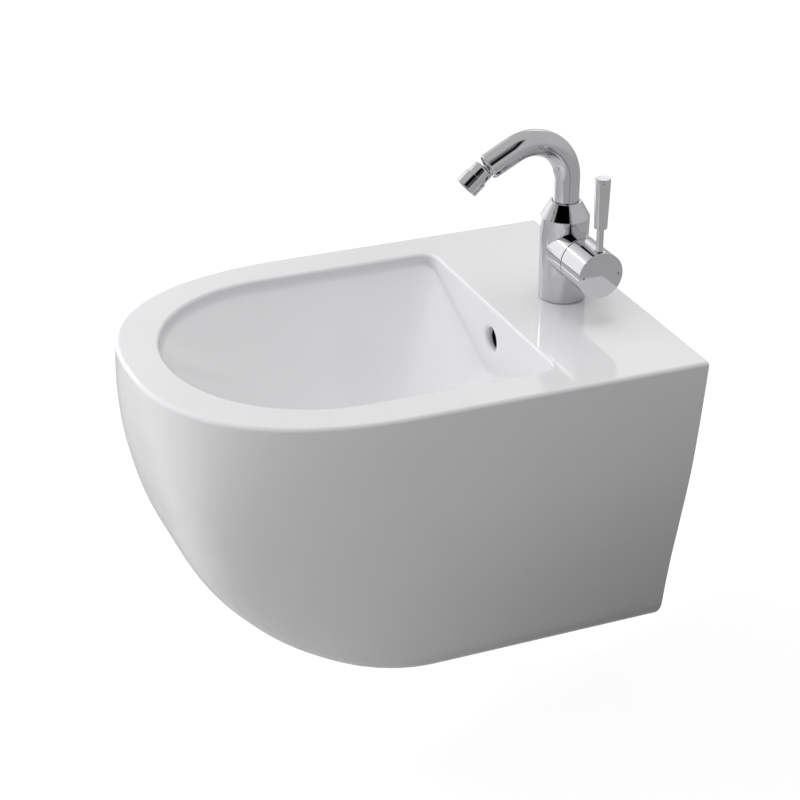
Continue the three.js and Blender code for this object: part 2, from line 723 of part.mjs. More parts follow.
function tapBody() {
  const column = turned([
    [0, baseLow], [tapBaseRadius - tapEdge, baseLow], [tapBaseRadius, baseLow + tapEdge],
    [tapShoulderRadius, tapShoulderHeight - tapEdge],
    [tapShoulderRadius - tapEdge, tapShoulderHeight + tapEdge],
    [tapNeckRadius + tapEdge, tapNeckHeight - tapEdge], [tapNeckRadius - tapEdge / 2, tapNeckHeight],
    [0, tapNeckHeight]], showSides);
  const boss = lathe([
    [0, 0], [bossRadius, 0], [bossRadius, bossReach - bossChamfer], [bossRadius - bossChamfer, bossReach],
    [0, bossReach]], showSides);
  const threadRadius = lockNutRadius + slideGap;
  const bore = lathe([
    [0, -seatOffset], [cartridgeRadius + slideGap, -seatOffset],
    [cartridgeRadius + slideGap, cartridgeTop], [threadRadius, cartridgeTop],
    [threadRadius, bossReach + overrun], [0, bossReach + overrun]], wideSides);
  const socket = turned([
    [0, socketLow], [socketRadius, socketLow], [socketRadius, recessLow],
    [spoutRadius + slideGap, recessLow], [spoutRadius + slideGap, tapNeckHeight + overrun],
    [0, tapNeckHeight + overrun]], wideSides);
  const grooveRadius = baseSealSection + seatGap / 2;
  const groove = tube(baseSealRadius + grooveRadius, baseSealRadius - grooveRadius,
    baseLow - overrun, baseLow + 2 * baseSealSection, wideSides);
  let body = cut(join(column, onHubAxis(boss)), onHubAxis(bore), socket, groove);
  const portFrom = -inletSetback - waterwayRadius / 2;
  const portTo = -seatOffset + overrun;
  const inletTop = hubHeight - portDrop + waterwayRadius;
  for (const side of [-1, 1]) {
    const y = side * inletSpread;
    body = cut(body,
      rod(inletThreadRadius, baseLow - overrun, baseLow + inletThreadDepth, smallSides, -inletSetback, y),
      rod(waterwayRadius, baseLow, inletTop, smallSides, -inletSetback, y),
      crossRod('x', waterwayRadius, portFrom, portTo, 0, y, hubHeight - portDrop));
  }
  const outletHeight = hubHeight + outletRise;
  const studBore = fixingStudRadius + slideGap;
  body = cut(body,
    rod(waterwayRadius, outletHeight - waterwayRadius, socketLow + overrun, smallSides, -inletSetback, 0),
    crossRod('x', waterwayRadius, portFrom, portTo, 0, 0, outletHeight),
    rod(studBore, baseLow - overrun, baseLow + fixingStudGrip, smallSides, fixingStudOffset),
    crossRod('y', spoutScrewRadius + slideGap, 0, tapShoulderRadius + overrun, 0, 0, retainMiddle));
  return body;
}

// The horseshoe that clamps the tap under the deck leaves room for the two water hoses.
function horseshoe(low, high) {
  const outline = new THREE.Shape();
  const halfSlot = fixingPlateSlot / 2;
  const start = Math.PI - Math.asin(halfSlot / fixingPlateRadius);
  outline.absarc(0, 0, fixingPlateRadius, -start, start, false);
  outline.absarc(-halfSlot / 2, 0, halfSlot, Math.PI / 2, -Math.PI / 2, true);
  const plate = new THREE.ExtrudeGeometry(outline, {
    depth: high - low, bevelEnabled: false, curveSegments: plateSteps,
  });
  const hole = rod(fixingStudRadius + slideGap, low - overrun, high + overrun, smallSides, fixingStudOffset);
  return cut(solid(plate.translate(0, 0, low)), hole);
}

function tapFixing() {
  const sealTop = -rimThickness - seatGap;
  const plateTop = sealTop - fixingPlateHeight - seatGap;
  const nutTop = plateTop - fixingPlateHeight - seatGap;
  const studLow = -rimThickness - fixingStudReach;
  const studTop = baseLow + fixingStudGrip - seatGap;
  const nut = hexNut(fixingNutFlats, fixingStudRadius + slideGap, nutTop - fixingNutHeight, nutTop);
  return [
    piece('fixing_seal', horseshoe(sealTop - fixingPlateHeight, sealTop), rubber),
    piece('fixing_plate', horseshoe(plateTop - fixingPlateHeight, plateTop), steel),
    group([fixingStudOffset, 0, 0], [0, 0, 0],
      piece('fixing_stud', rod(fixingStudRadius, studLow, studTop, smallSides), steel),
      piece('fixing_nut', nut, brass)),
  ];
}

function spoutScrew() {
  const inner = shankRadius - retainGrooveDepth + seatGap;
  const outer = tapShoulderRadius - 2 * tapEdge;
  const screw = crossRod('y', spoutScrewRadius, inner, outer, 0, 0, retainMiddle);
  const socket = crossRod('y', spoutScrewRadius / 2, outer - 2 * spoutScrewRadius, outer + overrun,
    0, 0, retainMiddle, tinySides);
  return piece('spout_grub_screw', cut(screw, socket), steel);
}

// Spout: the bent tube rises from the shoulder, bends over and falls forward
const tailTurn = radians(spoutBend);

// A place on the spout's line: how far round the bend, and how far beyond that point along a straight.
function spoutPlace(turn, beyond) {
  const [sine, cosine] = [Math.sin(turn), Math.cos(turn)];
  const y = -spoutBendRadius * (1 - cosine) - beyond * sine;
  return new THREE.Vector3(0, y, spoutBendHeight + spoutBendRadius * sine + beyond * cosine);
}

function bentTube(radius, low, tail, sides) {
  const bendStations = Array.from({ length: bendSteps + 1 }, (_, k) => [(tailTurn * k) / bendSteps, 0]);
  const stations = [[0, low - spoutBendHeight], ...bendStations, [tailTurn, tail]];
  const circle = Array.from({ length: sides }, (_, k) => (2 * Math.PI * k) / sides);
  return loft(stations.map(([turn, beyond]) => circle.map((angle) => {
    const across = new THREE.Vector3(radius * Math.sin(angle), radius * Math.cos(angle), 0);
    return across.applyAxisAngle(new THREE.Vector3(1, 0, 0), turn).add(spoutPlace(turn, beyond));
  })));
}

const mouth = spoutPlace(tailTurn, spoutTail);
const ballCentre = spoutPlace(tailTurn, spoutTail + ballReach);

// Turns a shape drawn along Z from the mouth into line with the spout's tail.
const onTail = (geometry) => solid(geometry.rotateX(tailTurn).translate(...mouth.toArray()));

function spoutTube() {
  const shankTop = spoutShoulder + overrun;
  const sealLow = shankLow + sealRise;
  const groove = (depth, low, width) => tube(socketRadius, shankRadius - depth, low, low + width);
  const outer = bentTube(spoutRadius, spoutShoulder, spoutTail, wideSides);
  const bore = bentTube(spoutBore, shankTop, spoutTail + overrun, smallSides);
  const mouthLow = -adapterDepth - adapterRecess - seatGap;
  const mouthCut = lathe([[0, mouthLow], [mouthBore, mouthLow], [mouthBore, overrun], [0, overrun]]);
  const rimTopHeight = seatGap / 3;
  const mouthRim = lathe([
    [spoutRadius - spoutMouthChamfer, rimTopHeight], [spoutRadius + overrun, rimTopHeight],
    [spoutRadius + overrun, -spoutMouthChamfer - overrun], [spoutRadius, -spoutMouthChamfer],
    [spoutRadius - spoutMouthChamfer, rimTopHeight]], wideSides);
  return cut(join(outer, rod(shankRadius, shankLow, shankTop)),
    bore, rod(shankBore, shankLow - overrun, shankTop + overrun, smallSides),
    groove(retainGrooveDepth, retainMiddle - retainGrooveWidth / 2, retainGrooveWidth),
    groove(sealGrooveDepth, sealLow, sealGrooveWidth),
    groove(sealGrooveDepth, sealLow + sealPitch, sealGrooveWidth),
    onTail(mouthCut), onTail(mouthRim));
}

function spoutPieces() {
  const sealMiddle = shankLow + sealRise + sealGrooveWidth / 2;
  const sealRadius = shankRadius - sealGrooveDepth + seatGap + sealSection;
  const bushLow = recessLow + seatGap;
  return [
    piece('spout_tube', spoutTube(), chrome),
    piece('spout_lower_oring', oRing(sealRadius, sealSection, sealMiddle), rubber),
    piece('spout_upper_oring', oRing(sealRadius, sealSection, sealMiddle + sealPitch), rubber),
    piece('spout_bush',
      tube(spoutRadius, shankRadius + slideGap, bushLow, bushLow + bushHeight, wideSides), whitePlastic),
  ];
}

// Nozzle: the adapter is drawn from the spout's mouth, the rest from the ball's centre
function nozzleAdapter() {
  const low = -adapterDepth - adapterRecess;
  const meet = Math.asin(adapterNeckRadius / ballRadius);
  const tip = Math.asin(adapterBore / ballRadius);
  const ball = arc(0, ballReach, ballRadius, THREE.MathUtils.radToDeg(meet) - 90,
    90 - THREE.MathUtils.radToDeg(tip), ballSteps);
  return ring([
    [adapterBore, low], [mouthBore - seatGap, low], [mouthBore - seatGap, -adapterRecess],
    [adapterNeckRadius, -adapterRecess], ...ball], midSides);
}

const seatInner = ballRadius + ballGap;
const seatOuter = seatInner + ballSeatWall;
const collarInner = seatOuter + ballGap;

function ballSeat() {
  return ring([
    ...arc(0, 0, seatOuter, ballSeatRearAngle, ballSeatFrontAngle, socketSteps),
    ...arc(0, 0, seatInner, ballSeatFrontAngle, ballSeatRearAngle, socketSteps)]);
}

function nozzleCollar() {
  const rearAngle = THREE.MathUtils.radToDeg(Math.asin(collarRear / collarInner));
  const edge = collarRadius - collarRearRadius;
  return ring([
    ...arc(collarRearRadius, -collarRear + edge, edge, -90, 0, edgeSteps),
    [collarRadius, collarFront], [spigotRadius, collarFront], [spigotRadius, collarFront + spigotLength],
    [collarInner, collarFront + spigotLength], ...arc(0, 0, collarInner, 0, -rearAngle, socketSteps)]);
}

function aeratorShell() {
  const low = collarFront + seatGap;
  const high = low + shellLength;
  const cavity = shellRadius - shellWall;
  return ring([
    [cavity, low], [shellRadius - shellChamfer / 2, low], [shellRadius, low + shellChamfer / 2],
    [shellRadius, high - shellChamfer], [shellRadius - shellChamfer, high],
    [cavity - shellLipWidth, high], [cavity - shellLipWidth, high - shellLip],
    [cavity, high - shellLip]], wideSides);
}

function aeratorInsert() {
  const high = collarFront + shellLength - shellLip;
  const radius = shellRadius - shellWall - seatGap;
  const lipRadius = radius - shellLipWidth;
  let insert = turned([
    [0, high - aeratorLength], [radius, high - aeratorLength], [radius, high],
    [lipRadius, high], [lipRadius, high - aeratorRecess], [0, high - aeratorRecess]]);
  const holeLow = high - aeratorLength - overrun;
  const hole = (x, y) => rod(aeratorHoleRadius, holeLow, high + overrun, tinySides, x, y);
  insert = cut(insert, hole(0, 0));
  for (let k = 0; k < aeratorHoles; k += 1) {
    const angle = (2 * Math.PI * k) / aeratorHoles;
    insert = cut(insert, hole(aeratorRingRadius * Math.cos(angle), aeratorRingRadius * Math.sin(angle)));
  }
  return insert;
}

function nozzlePieces() {
  const washerTop = collarFront + shellLength - shellLip - aeratorLength - seatGap;
  const washerRadius = shellRadius - shellWall - seatGap;
  const washer = tube(washerRadius, aeratorWasherBore, washerTop - aeratorWasher, washerTop);
  return [
    piece('ball_seat', ballSeat(), whitePlastic),
    piece('nozzle_collar', nozzleCollar(), chrome),
    piece('aerator_shell', aeratorShell(), chrome),
    piece('aerator_washer', washer, rubber),
    piece('aerator_insert', aeratorInsert(), greyPlastic),
  ];
}

// Cartridge and handle: local +Z runs out along the hub axis and local -X points up
const baseLowU = -seatOffset + seatGap;
const baseTopU = baseLowU + cartridgeBase;
const fixedDiscLow = baseTopU + seatGap;
const movingDiscLow = fixedDiscLow + discHeight + seatGap;
const carrierLow = movingDiscLow + discHeight + seatGap;
const rotorLow = carrierLow + carrierHeight + seatGap;
const rotorTop = rotorLow + rotorHeight;

// Centres of the hot, cold and mixed water ports, as [x, y] across the hub axis.
const ports = [[portDrop, inletSpread], [portDrop, -inletSpread], [-outletRise, 0]];

function withPorts(body, low, high) {
  const bore = ([x, y]) => rod(waterwayRadius, low - overrun, high + overrun, smallSides, x, y);
  return cut(body, ...ports.map(bore));
}

function cartridgeBasePlate() {
  const plate = withPorts(rod(cartridgeRadius, baseLowU, baseTopU, wideSides), baseLowU, baseTopU);
  const pocket = portSealRadius + portSealSection + seatGap / 2;
  const floor = baseLowU + 2 * portSealSection + seatGap;
  return cut(plate, ...ports.map(([x, y]) => rod(pocket, baseLowU - overrun, floor, smallSides, x, y)));
}

function cartridgeHousing() {
  const low = baseTopU + seatGap;
  const lidLow = cartridgeTop - cartridgeLid;
  return ring([
    [cartridgeCavity, low], [cartridgeRadius, low], [cartridgeRadius, cartridgeTop],
    [rotorHoleRadius, cartridgeTop], [rotorHoleRadius, lidLow], [cartridgeCavity, lidLow]], wideSides);
}

function movingDisc() {
  const disc = rod(movingDiscRadius, movingDiscLow, movingDiscLow + discHeight, midSides);
  const channel = block(2 * waterwayRadius + outletRise, waterwayRadius, discHeight, 0, 0, movingDiscLow);
  return cut(disc, channel);
}

function discCarrier() {
  const plate = rod(movingDiscRadius, carrierLow, carrierLow + carrierHeight, midSides);
  const pocket = 2 * (spindleBall + seatGap);
  const floor = pivotOffset - spindleArm - spindleBall - seatGap;
  const depth = carrierLow + carrierHeight + overrun - floor;
  return cut(plate, block(pocket, pocket, depth, 0, 0, floor + depth / 2));
}

function rotor() {
  const top = rotorTop + rotorNeck;
  const body = turned([
    [0, rotorLow], [cartridgeCavity - slideGap, rotorLow], [cartridgeCavity - slideGap, rotorTop],
    [rotorHoleRadius - slideGap, rotorTop], [rotorHoleRadius - slideGap, top], [0, top]], wideSides);
  const half = spindleSize / 2 + 2 * slideGap;
  const tilt = radians(tiltAngle);
  const swing = (u) => Math.abs(u - pivotOffset) * Math.tan(tilt) + half / Math.cos(tilt);
  const [low, high] = [rotorLow - overrun, top + overrun];
  const outline = new THREE.Shape([
    [-half, high], [-half, pivotOffset + half], [-swing(low), low], [half, low], [half, pivotOffset - half],
    [swing(high), high]].map(([x, u]) => new THREE.Vector2(x, u)));
  const width = spindleSize + 2 * slideGap;
  const slot = new THREE.ExtrudeGeometry(outline, { depth: width, bevelEnabled: false });
  slot.rotateX(Math.PI / 2).translate(0, width / 2, 0);
  const pinBore = pinRadius + slideGap / 2;
  const pinHole = crossRod('y', pinBore, -cartridgeCavity, cartridgeCavity, 0, 0, pivotOffset);
  return cut(body, solid(slot), pinHole);
}

function lockNut() {
  const top = lockNutLow + lockNutHeight;
  let nut = tube(lockNutRadius, lockNutBore, lockNutLow, top, wideSides);
  for (let k = 0; k < 2; k += 1) {
    const slot = new THREE.BoxGeometry(lockNutSlot, 2 * lockNutRadius + overrun, lockNutSlot);
    nut = cut(nut, solid(slot.translate(0, 0, top).rotateZ((Math.PI / 2) * k)));
  }
  return nut;
}

function spindle() {
  const armLow = pivotOffset - spindleArm;
  const shaftLow = pivotOffset - spindleSize / 2;
  const shaftMiddle = (spindleReach + shaftLow) / 2;
  const shaft = block(spindleSize, spindleSize, spindleReach - shaftLow, 0, 0, shaftMiddle);
  const neck = block(spindleNeck, spindleNeck, spindleArm, 0, 0, pivotOffset - spindleArm / 2);
  const ball = solid(new THREE.SphereGeometry(spindleBall, smallSides, tinySides).translate(0, 0, armLow));
  const pinHole = crossRod('y', pinRadius + slideGap / 2, -spindleSize, spindleSize, 0, 0, pivotOffset);
  return cut(join(shaft, neck, ball), pinHole);
}

function cartridgePieces() {
  const sealHeight = baseLowU + portSealSection + seatGap / 2;
  const sealNames = ['hot_port_seal', 'cold_port_seal', 'outlet_port_seal'];
  const seals = sealNames.map((name, k) => {
    const [x, y] = ports[k];
    const seal = oRing(portSealRadius, portSealSection, 0, smallSides);
    return group([x, y, sealHeight], [0, 0, 0], piece(name, seal, rubber));
  });
  const fixedDisc = rod(fixedDiscRadius, fixedDiscLow, fixedDiscLow + discHeight, wideSides);
  const half = pinLength / 2;
  return [
    ...seals,
    piece('cartridge_base', cartridgeBasePlate(), greyPlastic),
    piece('cartridge_housing', cartridgeHousing(), whitePlastic),
    piece('fixed_disc', withPorts(fixedDisc, fixedDiscLow, fixedDiscLow + discHeight), discCeramic),
    piece('moving_disc', movingDisc(), discCeramic),
    piece('disc_carrier', discCarrier(), greyPlastic),
    piece('cartridge_rotor', rotor(), greyPlastic),
    piece('spindle_pin', crossRod('y', pinRadius, -half, half, 0, 0, pivotOffset), steel),
    piece('cartridge_lock_nut', lockNut(), brass),
  ];
}

function handleHub() {
  const inner = handleRadius - handleSkirt;
  const socketSize = spindleSize + 2 * seatGap;
  const socketDepthU = spindleReach + seatGap - handleCoreRear + overrun;
  const socketMiddle = spindleReach + seatGap - socketDepthU / 2;
  const screwHole = handleScrewRadius + slideGap / 2;
  const stemHole = stemRadius + seatGap;
  const drilled = (radius, from, to, u) => crossRod('x', radius, from, to, 0, 0, u, midSides);
  const hub = turned([
    [0, handleCoreRear], [handleCoreRadius, handleCoreRear], [handleCoreRadius, handleCavity],
    [inner, handleCavity], [inner, handleRear], [handleRadius - handleBevel, handleRear],
    [handleRadius, handleRear + handleBevel], [handleRadius, handleFront - handleBevel],
    [handleRadius - handleBevel, handleFront], [0, handleFront]], showSides);
  const markHole = markRadius + slideGap / 2;
  const markLow = handleFront - markDepth;
  const markHigh = handleFront + overrun;
  const marks = [-1, 1].map((side) => rod(markHole, markLow, markHigh, tinySides, 0, side * markSpread));
  const top = -handleRadius;
  return cut(hub, block(socketSize, socketSize, socketDepthU, 0, 0, socketMiddle),
    drilled(stemHole, top - overrun, top + stemSink + seatGap, leverOffset),
    drilled(stemHole + stemCounterbore, top - overrun, top + stemCounterbore, leverOffset),
    crossRod('x', screwHole, 0, handleRadius + overrun, 0, 0, handleScrewOffset), ...marks);
}

// The lever's pieces are drawn along Z, with z = 0 on the hub's axis.
function leverPieces() {
  const stemLow = handleRadius - stemSink;
  const gripLow = handleRadius + stemShown;
  const gripTop = gripLow + gripLength;
  const hole = stemRadius + seatGap;
  const holeTop = gripLow + stemGrip + seatGap;
  const grooveMiddle = gripTop - gripGrooveDrop;
  const grip = turned([
    [0, holeTop], [hole, holeTop], [hole, gripLow], [gripFootRadius - gripGroove, gripLow],
    [gripFootRadius, gripLow + gripGroove], [gripHeadRadius, grooveMiddle - gripGroove],
    [gripHeadRadius - gripGroove, grooveMiddle], [gripHeadRadius, grooveMiddle + gripGroove],
    [gripHeadRadius, gripTop - gripBevel], [gripHeadRadius - gripBevel, gripTop], [0, gripTop]]);
  return [
    piece('lever_stem', rod(stemRadius, stemLow, gripLow + stemGrip, midSides), chrome),
    piece('lever_grip', grip, chrome),
  ];
}

function handlePieces() {
  const markTop = handleFront - seatGap / 3;
  const mark = (name, side, material) => piece(name,
    rod(markRadius, handleFront - markDepth + seatGap, markTop, tinySides, 0, side * markSpread), material);
  const screwLow = spindleSize / 2 + seatGap;
  const screwTop = screwLow + handleScrewLength;
  const screw = cut(crossRod('x', handleScrewRadius, screwLow, screwTop, 0, 0, handleScrewOffset),
    crossRod('x', handleScrewRadius / 2, screwTop - handleScrewRadius, screwTop + overrun,
      0, 0, handleScrewOffset, tinySides));
  return [
    piece('handle_hub', handleHub(), chrome),
    piece('handle_spindle', spindle(), brass),
    piece('handle_grub_screw', screw, steel),
    mark('cold_mark', -1, blueEnamel),
    mark('hot_mark', 1, redEnamel),
    group([0, 0, leverOffset], [0, -Math.PI / 2, 0], ...leverPieces()),
  ];
}

const nozzleTurn = radians(spoutBend + nozzleDroop);
const tap = group([0, -tapSetback, rimTop], [0, 0, 0],
  piece('tap_body', tapBody(), chrome),
  piece('base_seal', oRing(baseSealRadius, baseSealSection, baseSealSection + seatGap / 3, wideSides),
    rubber),
  ...tapFixing(),
  spoutScrew(),
  ...spoutPieces(),
  group(mouth.toArray(), [tailTurn, 0, 0], piece('nozzle_adapter', nozzleAdapter(), brass)),
  group(ballCentre.toArray(), [nozzleTurn, 0, 0], ...nozzlePieces()),
  group([0, 0, hubHeight], cartridgeFrame, ...cartridgePieces(), ...handlePieces()));

const waste = group([0, -wasteSetback, rimTop - bowlDepth - wasteSeatDepth], [0, 0, 0], ...wasteFitting());

const wallFixings = [['left', -1], ['right', 1]].map(([side, sign]) =>
  group([(sign * studSpacing) / 2, 0, 0], [Math.PI / 2, 0, 0], ...wallFixing(side)));

const bidet = new THREE.Group();
bidet.add(piece('ceramic_body', ceramicBody(), glaze), ...wallFixings, waste, tap);

export default bidet;
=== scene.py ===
"""A wall-hung bidet with a lever mixer tap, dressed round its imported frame.

Sizes are in metres, +Z up. The wall is the plane y = 0 and the bowl reaches out towards -Y.
The origin lies on the wall face, on the centre line, at the height of the two wall studs.
"""

import json
import logging
import math
from dataclasses import dataclass, field
from enum import Enum
from typing import Callable, Iterable, Sequence

import bmesh
import bpy
from mathutils import Matrix, Vector


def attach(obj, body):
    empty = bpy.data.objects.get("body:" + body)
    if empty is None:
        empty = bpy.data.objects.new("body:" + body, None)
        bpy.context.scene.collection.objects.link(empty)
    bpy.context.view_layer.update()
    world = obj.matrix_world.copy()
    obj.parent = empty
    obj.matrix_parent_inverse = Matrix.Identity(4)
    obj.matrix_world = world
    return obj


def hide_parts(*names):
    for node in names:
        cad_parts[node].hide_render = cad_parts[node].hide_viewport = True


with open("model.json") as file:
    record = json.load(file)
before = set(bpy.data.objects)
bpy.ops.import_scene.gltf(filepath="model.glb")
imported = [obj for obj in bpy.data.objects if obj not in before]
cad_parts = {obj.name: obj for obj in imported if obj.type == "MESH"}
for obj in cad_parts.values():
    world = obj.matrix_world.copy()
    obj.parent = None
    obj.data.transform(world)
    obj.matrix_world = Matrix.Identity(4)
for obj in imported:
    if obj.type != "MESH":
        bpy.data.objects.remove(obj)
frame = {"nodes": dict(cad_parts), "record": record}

LOG = logging.getLogger("bidet")

Profile = list[tuple[float, float]]
Colour = tuple[float, float, float]
Ring = list[Vector]

# Sizes that several pieces share
RIM_TOP = 0.075
TAP_SETBACK = 0.058
WASTE_SETBACK = 0.235
HUB_RADIUS = 0.0223
OVERRUN = 0.003

# Facets round a full turn, from the widest pieces to the smallest holes
SIDES_WIDE = 128
SIDES = 96
SIDES_MEDIUM = 64
SIDES_SMALL = 48
SIDES_TINY = 32
SIDES_WELL = 24
SIDES_PINHOLE = 12

# Angles in degrees past which an edge stays sharp
EDGE_ANGLE = 28
CROWN_ANGLE = 40


class Body(Enum):
    """The bodies of the frame that a new piece can ride on."""

    FIXTURE = "fixture"
    SPOUT = "spout"
    NOZZLE = "nozzle"
    HANDLE = "handle"
    PLUG = "plug"


class Slot(Enum):
    """The material slots of the record."""

    GLAZE = "glaze"
    CHROME = "chrome"
    BRASS = "brass"
    STEEL = "steel"
    RUBBER = "rubber"
    WHITE_PLASTIC = "white_plastic"
    GREY_PLASTIC = "grey_plastic"
    DISC_CERAMIC = "disc_ceramic"
    BLUE_ENAMEL = "blue_enamel"
    RED_ENAMEL = "red_enamel"


class Cut(Enum):
    """How a tool acts on the piece that it meets."""

    TAKE_AWAY = "DIFFERENCE"
    ADD = "UNION"


# Bench work


def deselect() -> None:
    """Leaves edit mode and selects nothing."""
    if bpy.context.object and bpy.context.object.mode != "OBJECT":
        bpy.ops.object.mode_set(mode="OBJECT")
    bpy.ops.object.select_all(action="DESELECT")


def take(piece: bpy.types.Object) -> None:
    """Makes a piece the one that is selected and active."""
    deselect()
    piece.select_set(True)
    bpy.context.view_layer.objects.active = piece


def new_piece(name: str) -> bpy.types.Object:
    """Names the primitive that was just added, with its mesh."""
    piece = bpy.context.object
    piece.name = piece.data.name = name
    return piece


def close_skin() -> None:
    """In edit mode, welds the seam, fills open ends and points all faces outwards."""
    weld = 1e-7
    bpy.ops.mesh.select_all(action="SELECT")
    bpy.ops.mesh.remove_doubles(threshold=weld)
    bpy.ops.mesh.select_all(action="DESELECT")
    bpy.ops.mesh.select_non_manifold()
    bpy.ops.mesh.fill_holes(sides=0)
    bpy.ops.mesh.select_all(action="SELECT")
    bpy.ops.mesh.normals_make_consistent(inside=False)


def lathe(name: str, profile: Profile, sides: int = SIDES, ring: bool = False) -> bpy.types.Object:
    """Turns a piece about Z from a circle, extruded and scaled from ring to ring.

    Args:
        name: The piece's name.
        profile: Radius and height of each ring, in order. A radius of 0 stands for a closed end.
        sides: Facets round a full turn.
        ring: True where the last ring joins the first.

    Returns:
        The piece, at the origin.
    """
    rings = [(radius, height) for radius, height in profile if radius > 0]
    radius, height = rings[0]
    deselect()
    bpy.ops.mesh.primitive_circle_add(vertices=sides, radius=radius, location=(0, 0, 0))
    piece = new_piece(name)
    bpy.ops.object.mode_set(mode="EDIT")
    bpy.ops.transform.translate(value=(0, 0, height))
    for wider, higher in rings[1:]:
        bpy.ops.mesh.extrude_region_move(TRANSFORM_OT_translate={"value": (0, 0, higher - height)})
        share = wider / radius
        bpy.ops.transform.resize(value=(share, share, 1), center_override=(0, 0, higher))
        radius, height = wider, higher
    if ring:
        bpy.ops.mesh.select_all(action="DESELECT")
        bpy.ops.mesh.select_non_manifold()
        bpy.ops.mesh.bridge_edge_loops()
    close_skin()
    bpy.ops.object.mode_set(mode="OBJECT")
    return piece


def loft(name: str, rings: Sequence[Ring]) -> bpy.types.Object:
    """Wraps a grid round a stack of closed outlines with equal counts of points.

    Args:
        name: The piece's name.
        rings: The outlines, in order from one end to the other.

    Returns:
        The closed piece, at the origin.
    """
    count = len(rings[0])
    deselect()
    bpy.ops.mesh.primitive_grid_add(x_subdivisions=count, y_subdivisions=len(rings) - 1, size=1)
    piece = new_piece(name)
    places = [co for ring in rings for point in [*ring, ring[0]] for co in point]
    piece.data.vertices.foreach_set("co", places)
    bpy.ops.object.mode_set(mode="EDIT")
    close_skin()
    bpy.ops.object.mode_set(mode="OBJECT")
    return piece


def combine(piece: bpy.types.Object, tool: bpy.types.Object, cut: Cut) -> None:
    """Cuts a tool out of a piece, or joins it on, and throws the tool away."""
    take(piece)
    change = piece.modifiers.new("work", "BOOLEAN")
    change.operation = cut.value
    change.solver = "MANIFOLD"
    change.material_mode = "TRANSFER"
    change.object = tool
    bpy.ops.object.modifier_apply(modifier=change.name)
    bpy.data.objects.remove(tool)


def carve(piece: bpy.types.Object, *tools: bpy.types.Object) -> None:
    """Cuts tools out of a piece, one after another."""
    for tool in tools:
        combine(piece, tool, Cut.TAKE_AWAY)


def place(piece: bpy.types.Object, matrix: Matrix) -> bpy.types.Object:
    """Moves a piece to its place and puts that place into its mesh."""
    piece.matrix_world = matrix
    take(piece)
    bpy.ops.object.transform_apply(location=True, rotation=True, scale=True)
    return piece


def polish(piece: bpy.types.Object, edge_angle: float = EDGE_ANGLE) -> None:
    """Shades a piece smooth up to its edges, with flat faces kept flat."""
    take(piece)
    bpy.ops.object.shade_smooth_by_angle(angle=math.radians(edge_angle))
    weigh = piece.modifiers.new("weigh", "WEIGHTED_NORMAL")
    weigh.keep_sharp = True
    bpy.ops.object.modifier_apply(modifier=weigh.name)


def new_material(name: str) -> bpy.types.Material:
    """Makes a material with nodes."""
    material = bpy.data.materials.new(name)
    material.use_nodes = True
    return material


def looking(where: Vector, target: Vector) -> Matrix:
    """A place whose local -Z looks at a target."""
    return Matrix.Translation(where) @ (target - where).to_track_quat("-Z", "Y").to_matrix().to_4x4()


def rounded(corners: Iterable[tuple[float, ...]], steps: int = 5) -> Profile:
    """Rounds the corners of a profile.

    Args:
        corners: Radius, height and, where the corner is round, its fillet.
        steps: Facets along each fillet.

    Returns:
        The profile's points.
    """
    spots = [(Vector(corner[:2]), corner[2] if len(corner) > 2 else 0) for corner in corners]
    points = []
    for k, (spot, fillet) in enumerate(spots):
        if not fillet:
            points.append(tuple(spot))
            continue
        back = (spots[k - 1][0] - spot).normalized()
        ahead = (spots[(k + 1) % len(spots)][0] - spot).normalized()
        half = back.angle(ahead) / 2
        middle = spot + (back + ahead).normalized() * fillet / math.sin(half)
        start = spot + back * fillet / math.tan(half) - middle
        sweep = math.pi - 2 * half
        side = 1 if back.x * ahead.y - back.y * ahead.x < 0 else -1
        for step in range(steps + 1):
            angle = side * sweep * step / steps
            cosine, sine = math.cos(angle), math.sin(angle)
            points.append((middle.x + start.x * cosine - start.y * sine,
                           middle.y + start.x * sine + start.y * cosine))
    return points


def arc(radius: float, height: float, reach: float, start: float, end: float, steps: int = 10) -> Profile:
    """Points of an arc of a profile, about a centre, from one angle to another in degrees."""
    angles = [math.radians(start + (end - start) * k / steps) for k in range(steps + 1)]
    return [(radius + reach * math.cos(angle), height + reach * math.sin(angle)) for angle in angles]


def spaced(points: Profile, count: int) -> Profile:
    """Spreads points evenly along a line, from its first point to its last."""
    lengths = [0.0]
    for here, there in zip(points, points[1:]):
        lengths.append(lengths[-1] + math.dist(here, there))
    result, k = [], 1
    for step in range(count):
        along = lengths[-1] * step / (count - 1)
        while k < len(points) - 1 and lengths[k] < along:
            k += 1
        share = (along - lengths[k - 1]) / (lengths[k] - lengths[k - 1])
        (x0, y0), (x1, y1) = points[k - 1], points[k]
        result.append((x0 + (x1 - x0) * share, y0 + (y1 - y0) * share))
    return result


def spline(keys: Sequence[float], values: Sequence[float], at: float) -> float:
    """A smooth curve through values at given places, with no bend at its two ends."""
    k = next((k for k in range(1, len(keys)) if at <= keys[k]), len(keys) - 1)
    before = k - 2 if k > 1 else k
    after = k + 1 if k + 1 < len(keys) else k - 1
    start, end = keys[k - 1], keys[k]
    share = (at - start) / (end - start)
    square, cube = share ** 2, share ** 3
    back = (end - start) / 2 / (start - keys[before])
    on = (end - start) / 2 / (keys[after] - end)
    return (values[before] * back * (2 * square - cube - share)
            + values[k - 1] * ((1 + back) * cube - (1.5 + 2 * back) * square + (back - 0.5) * share + 1)
            + values[k] * (-(1 + on) * cube + (1.5 + on) * square + 0.5 * share)
            + values[after] * on * (cube - square))


# Finishes


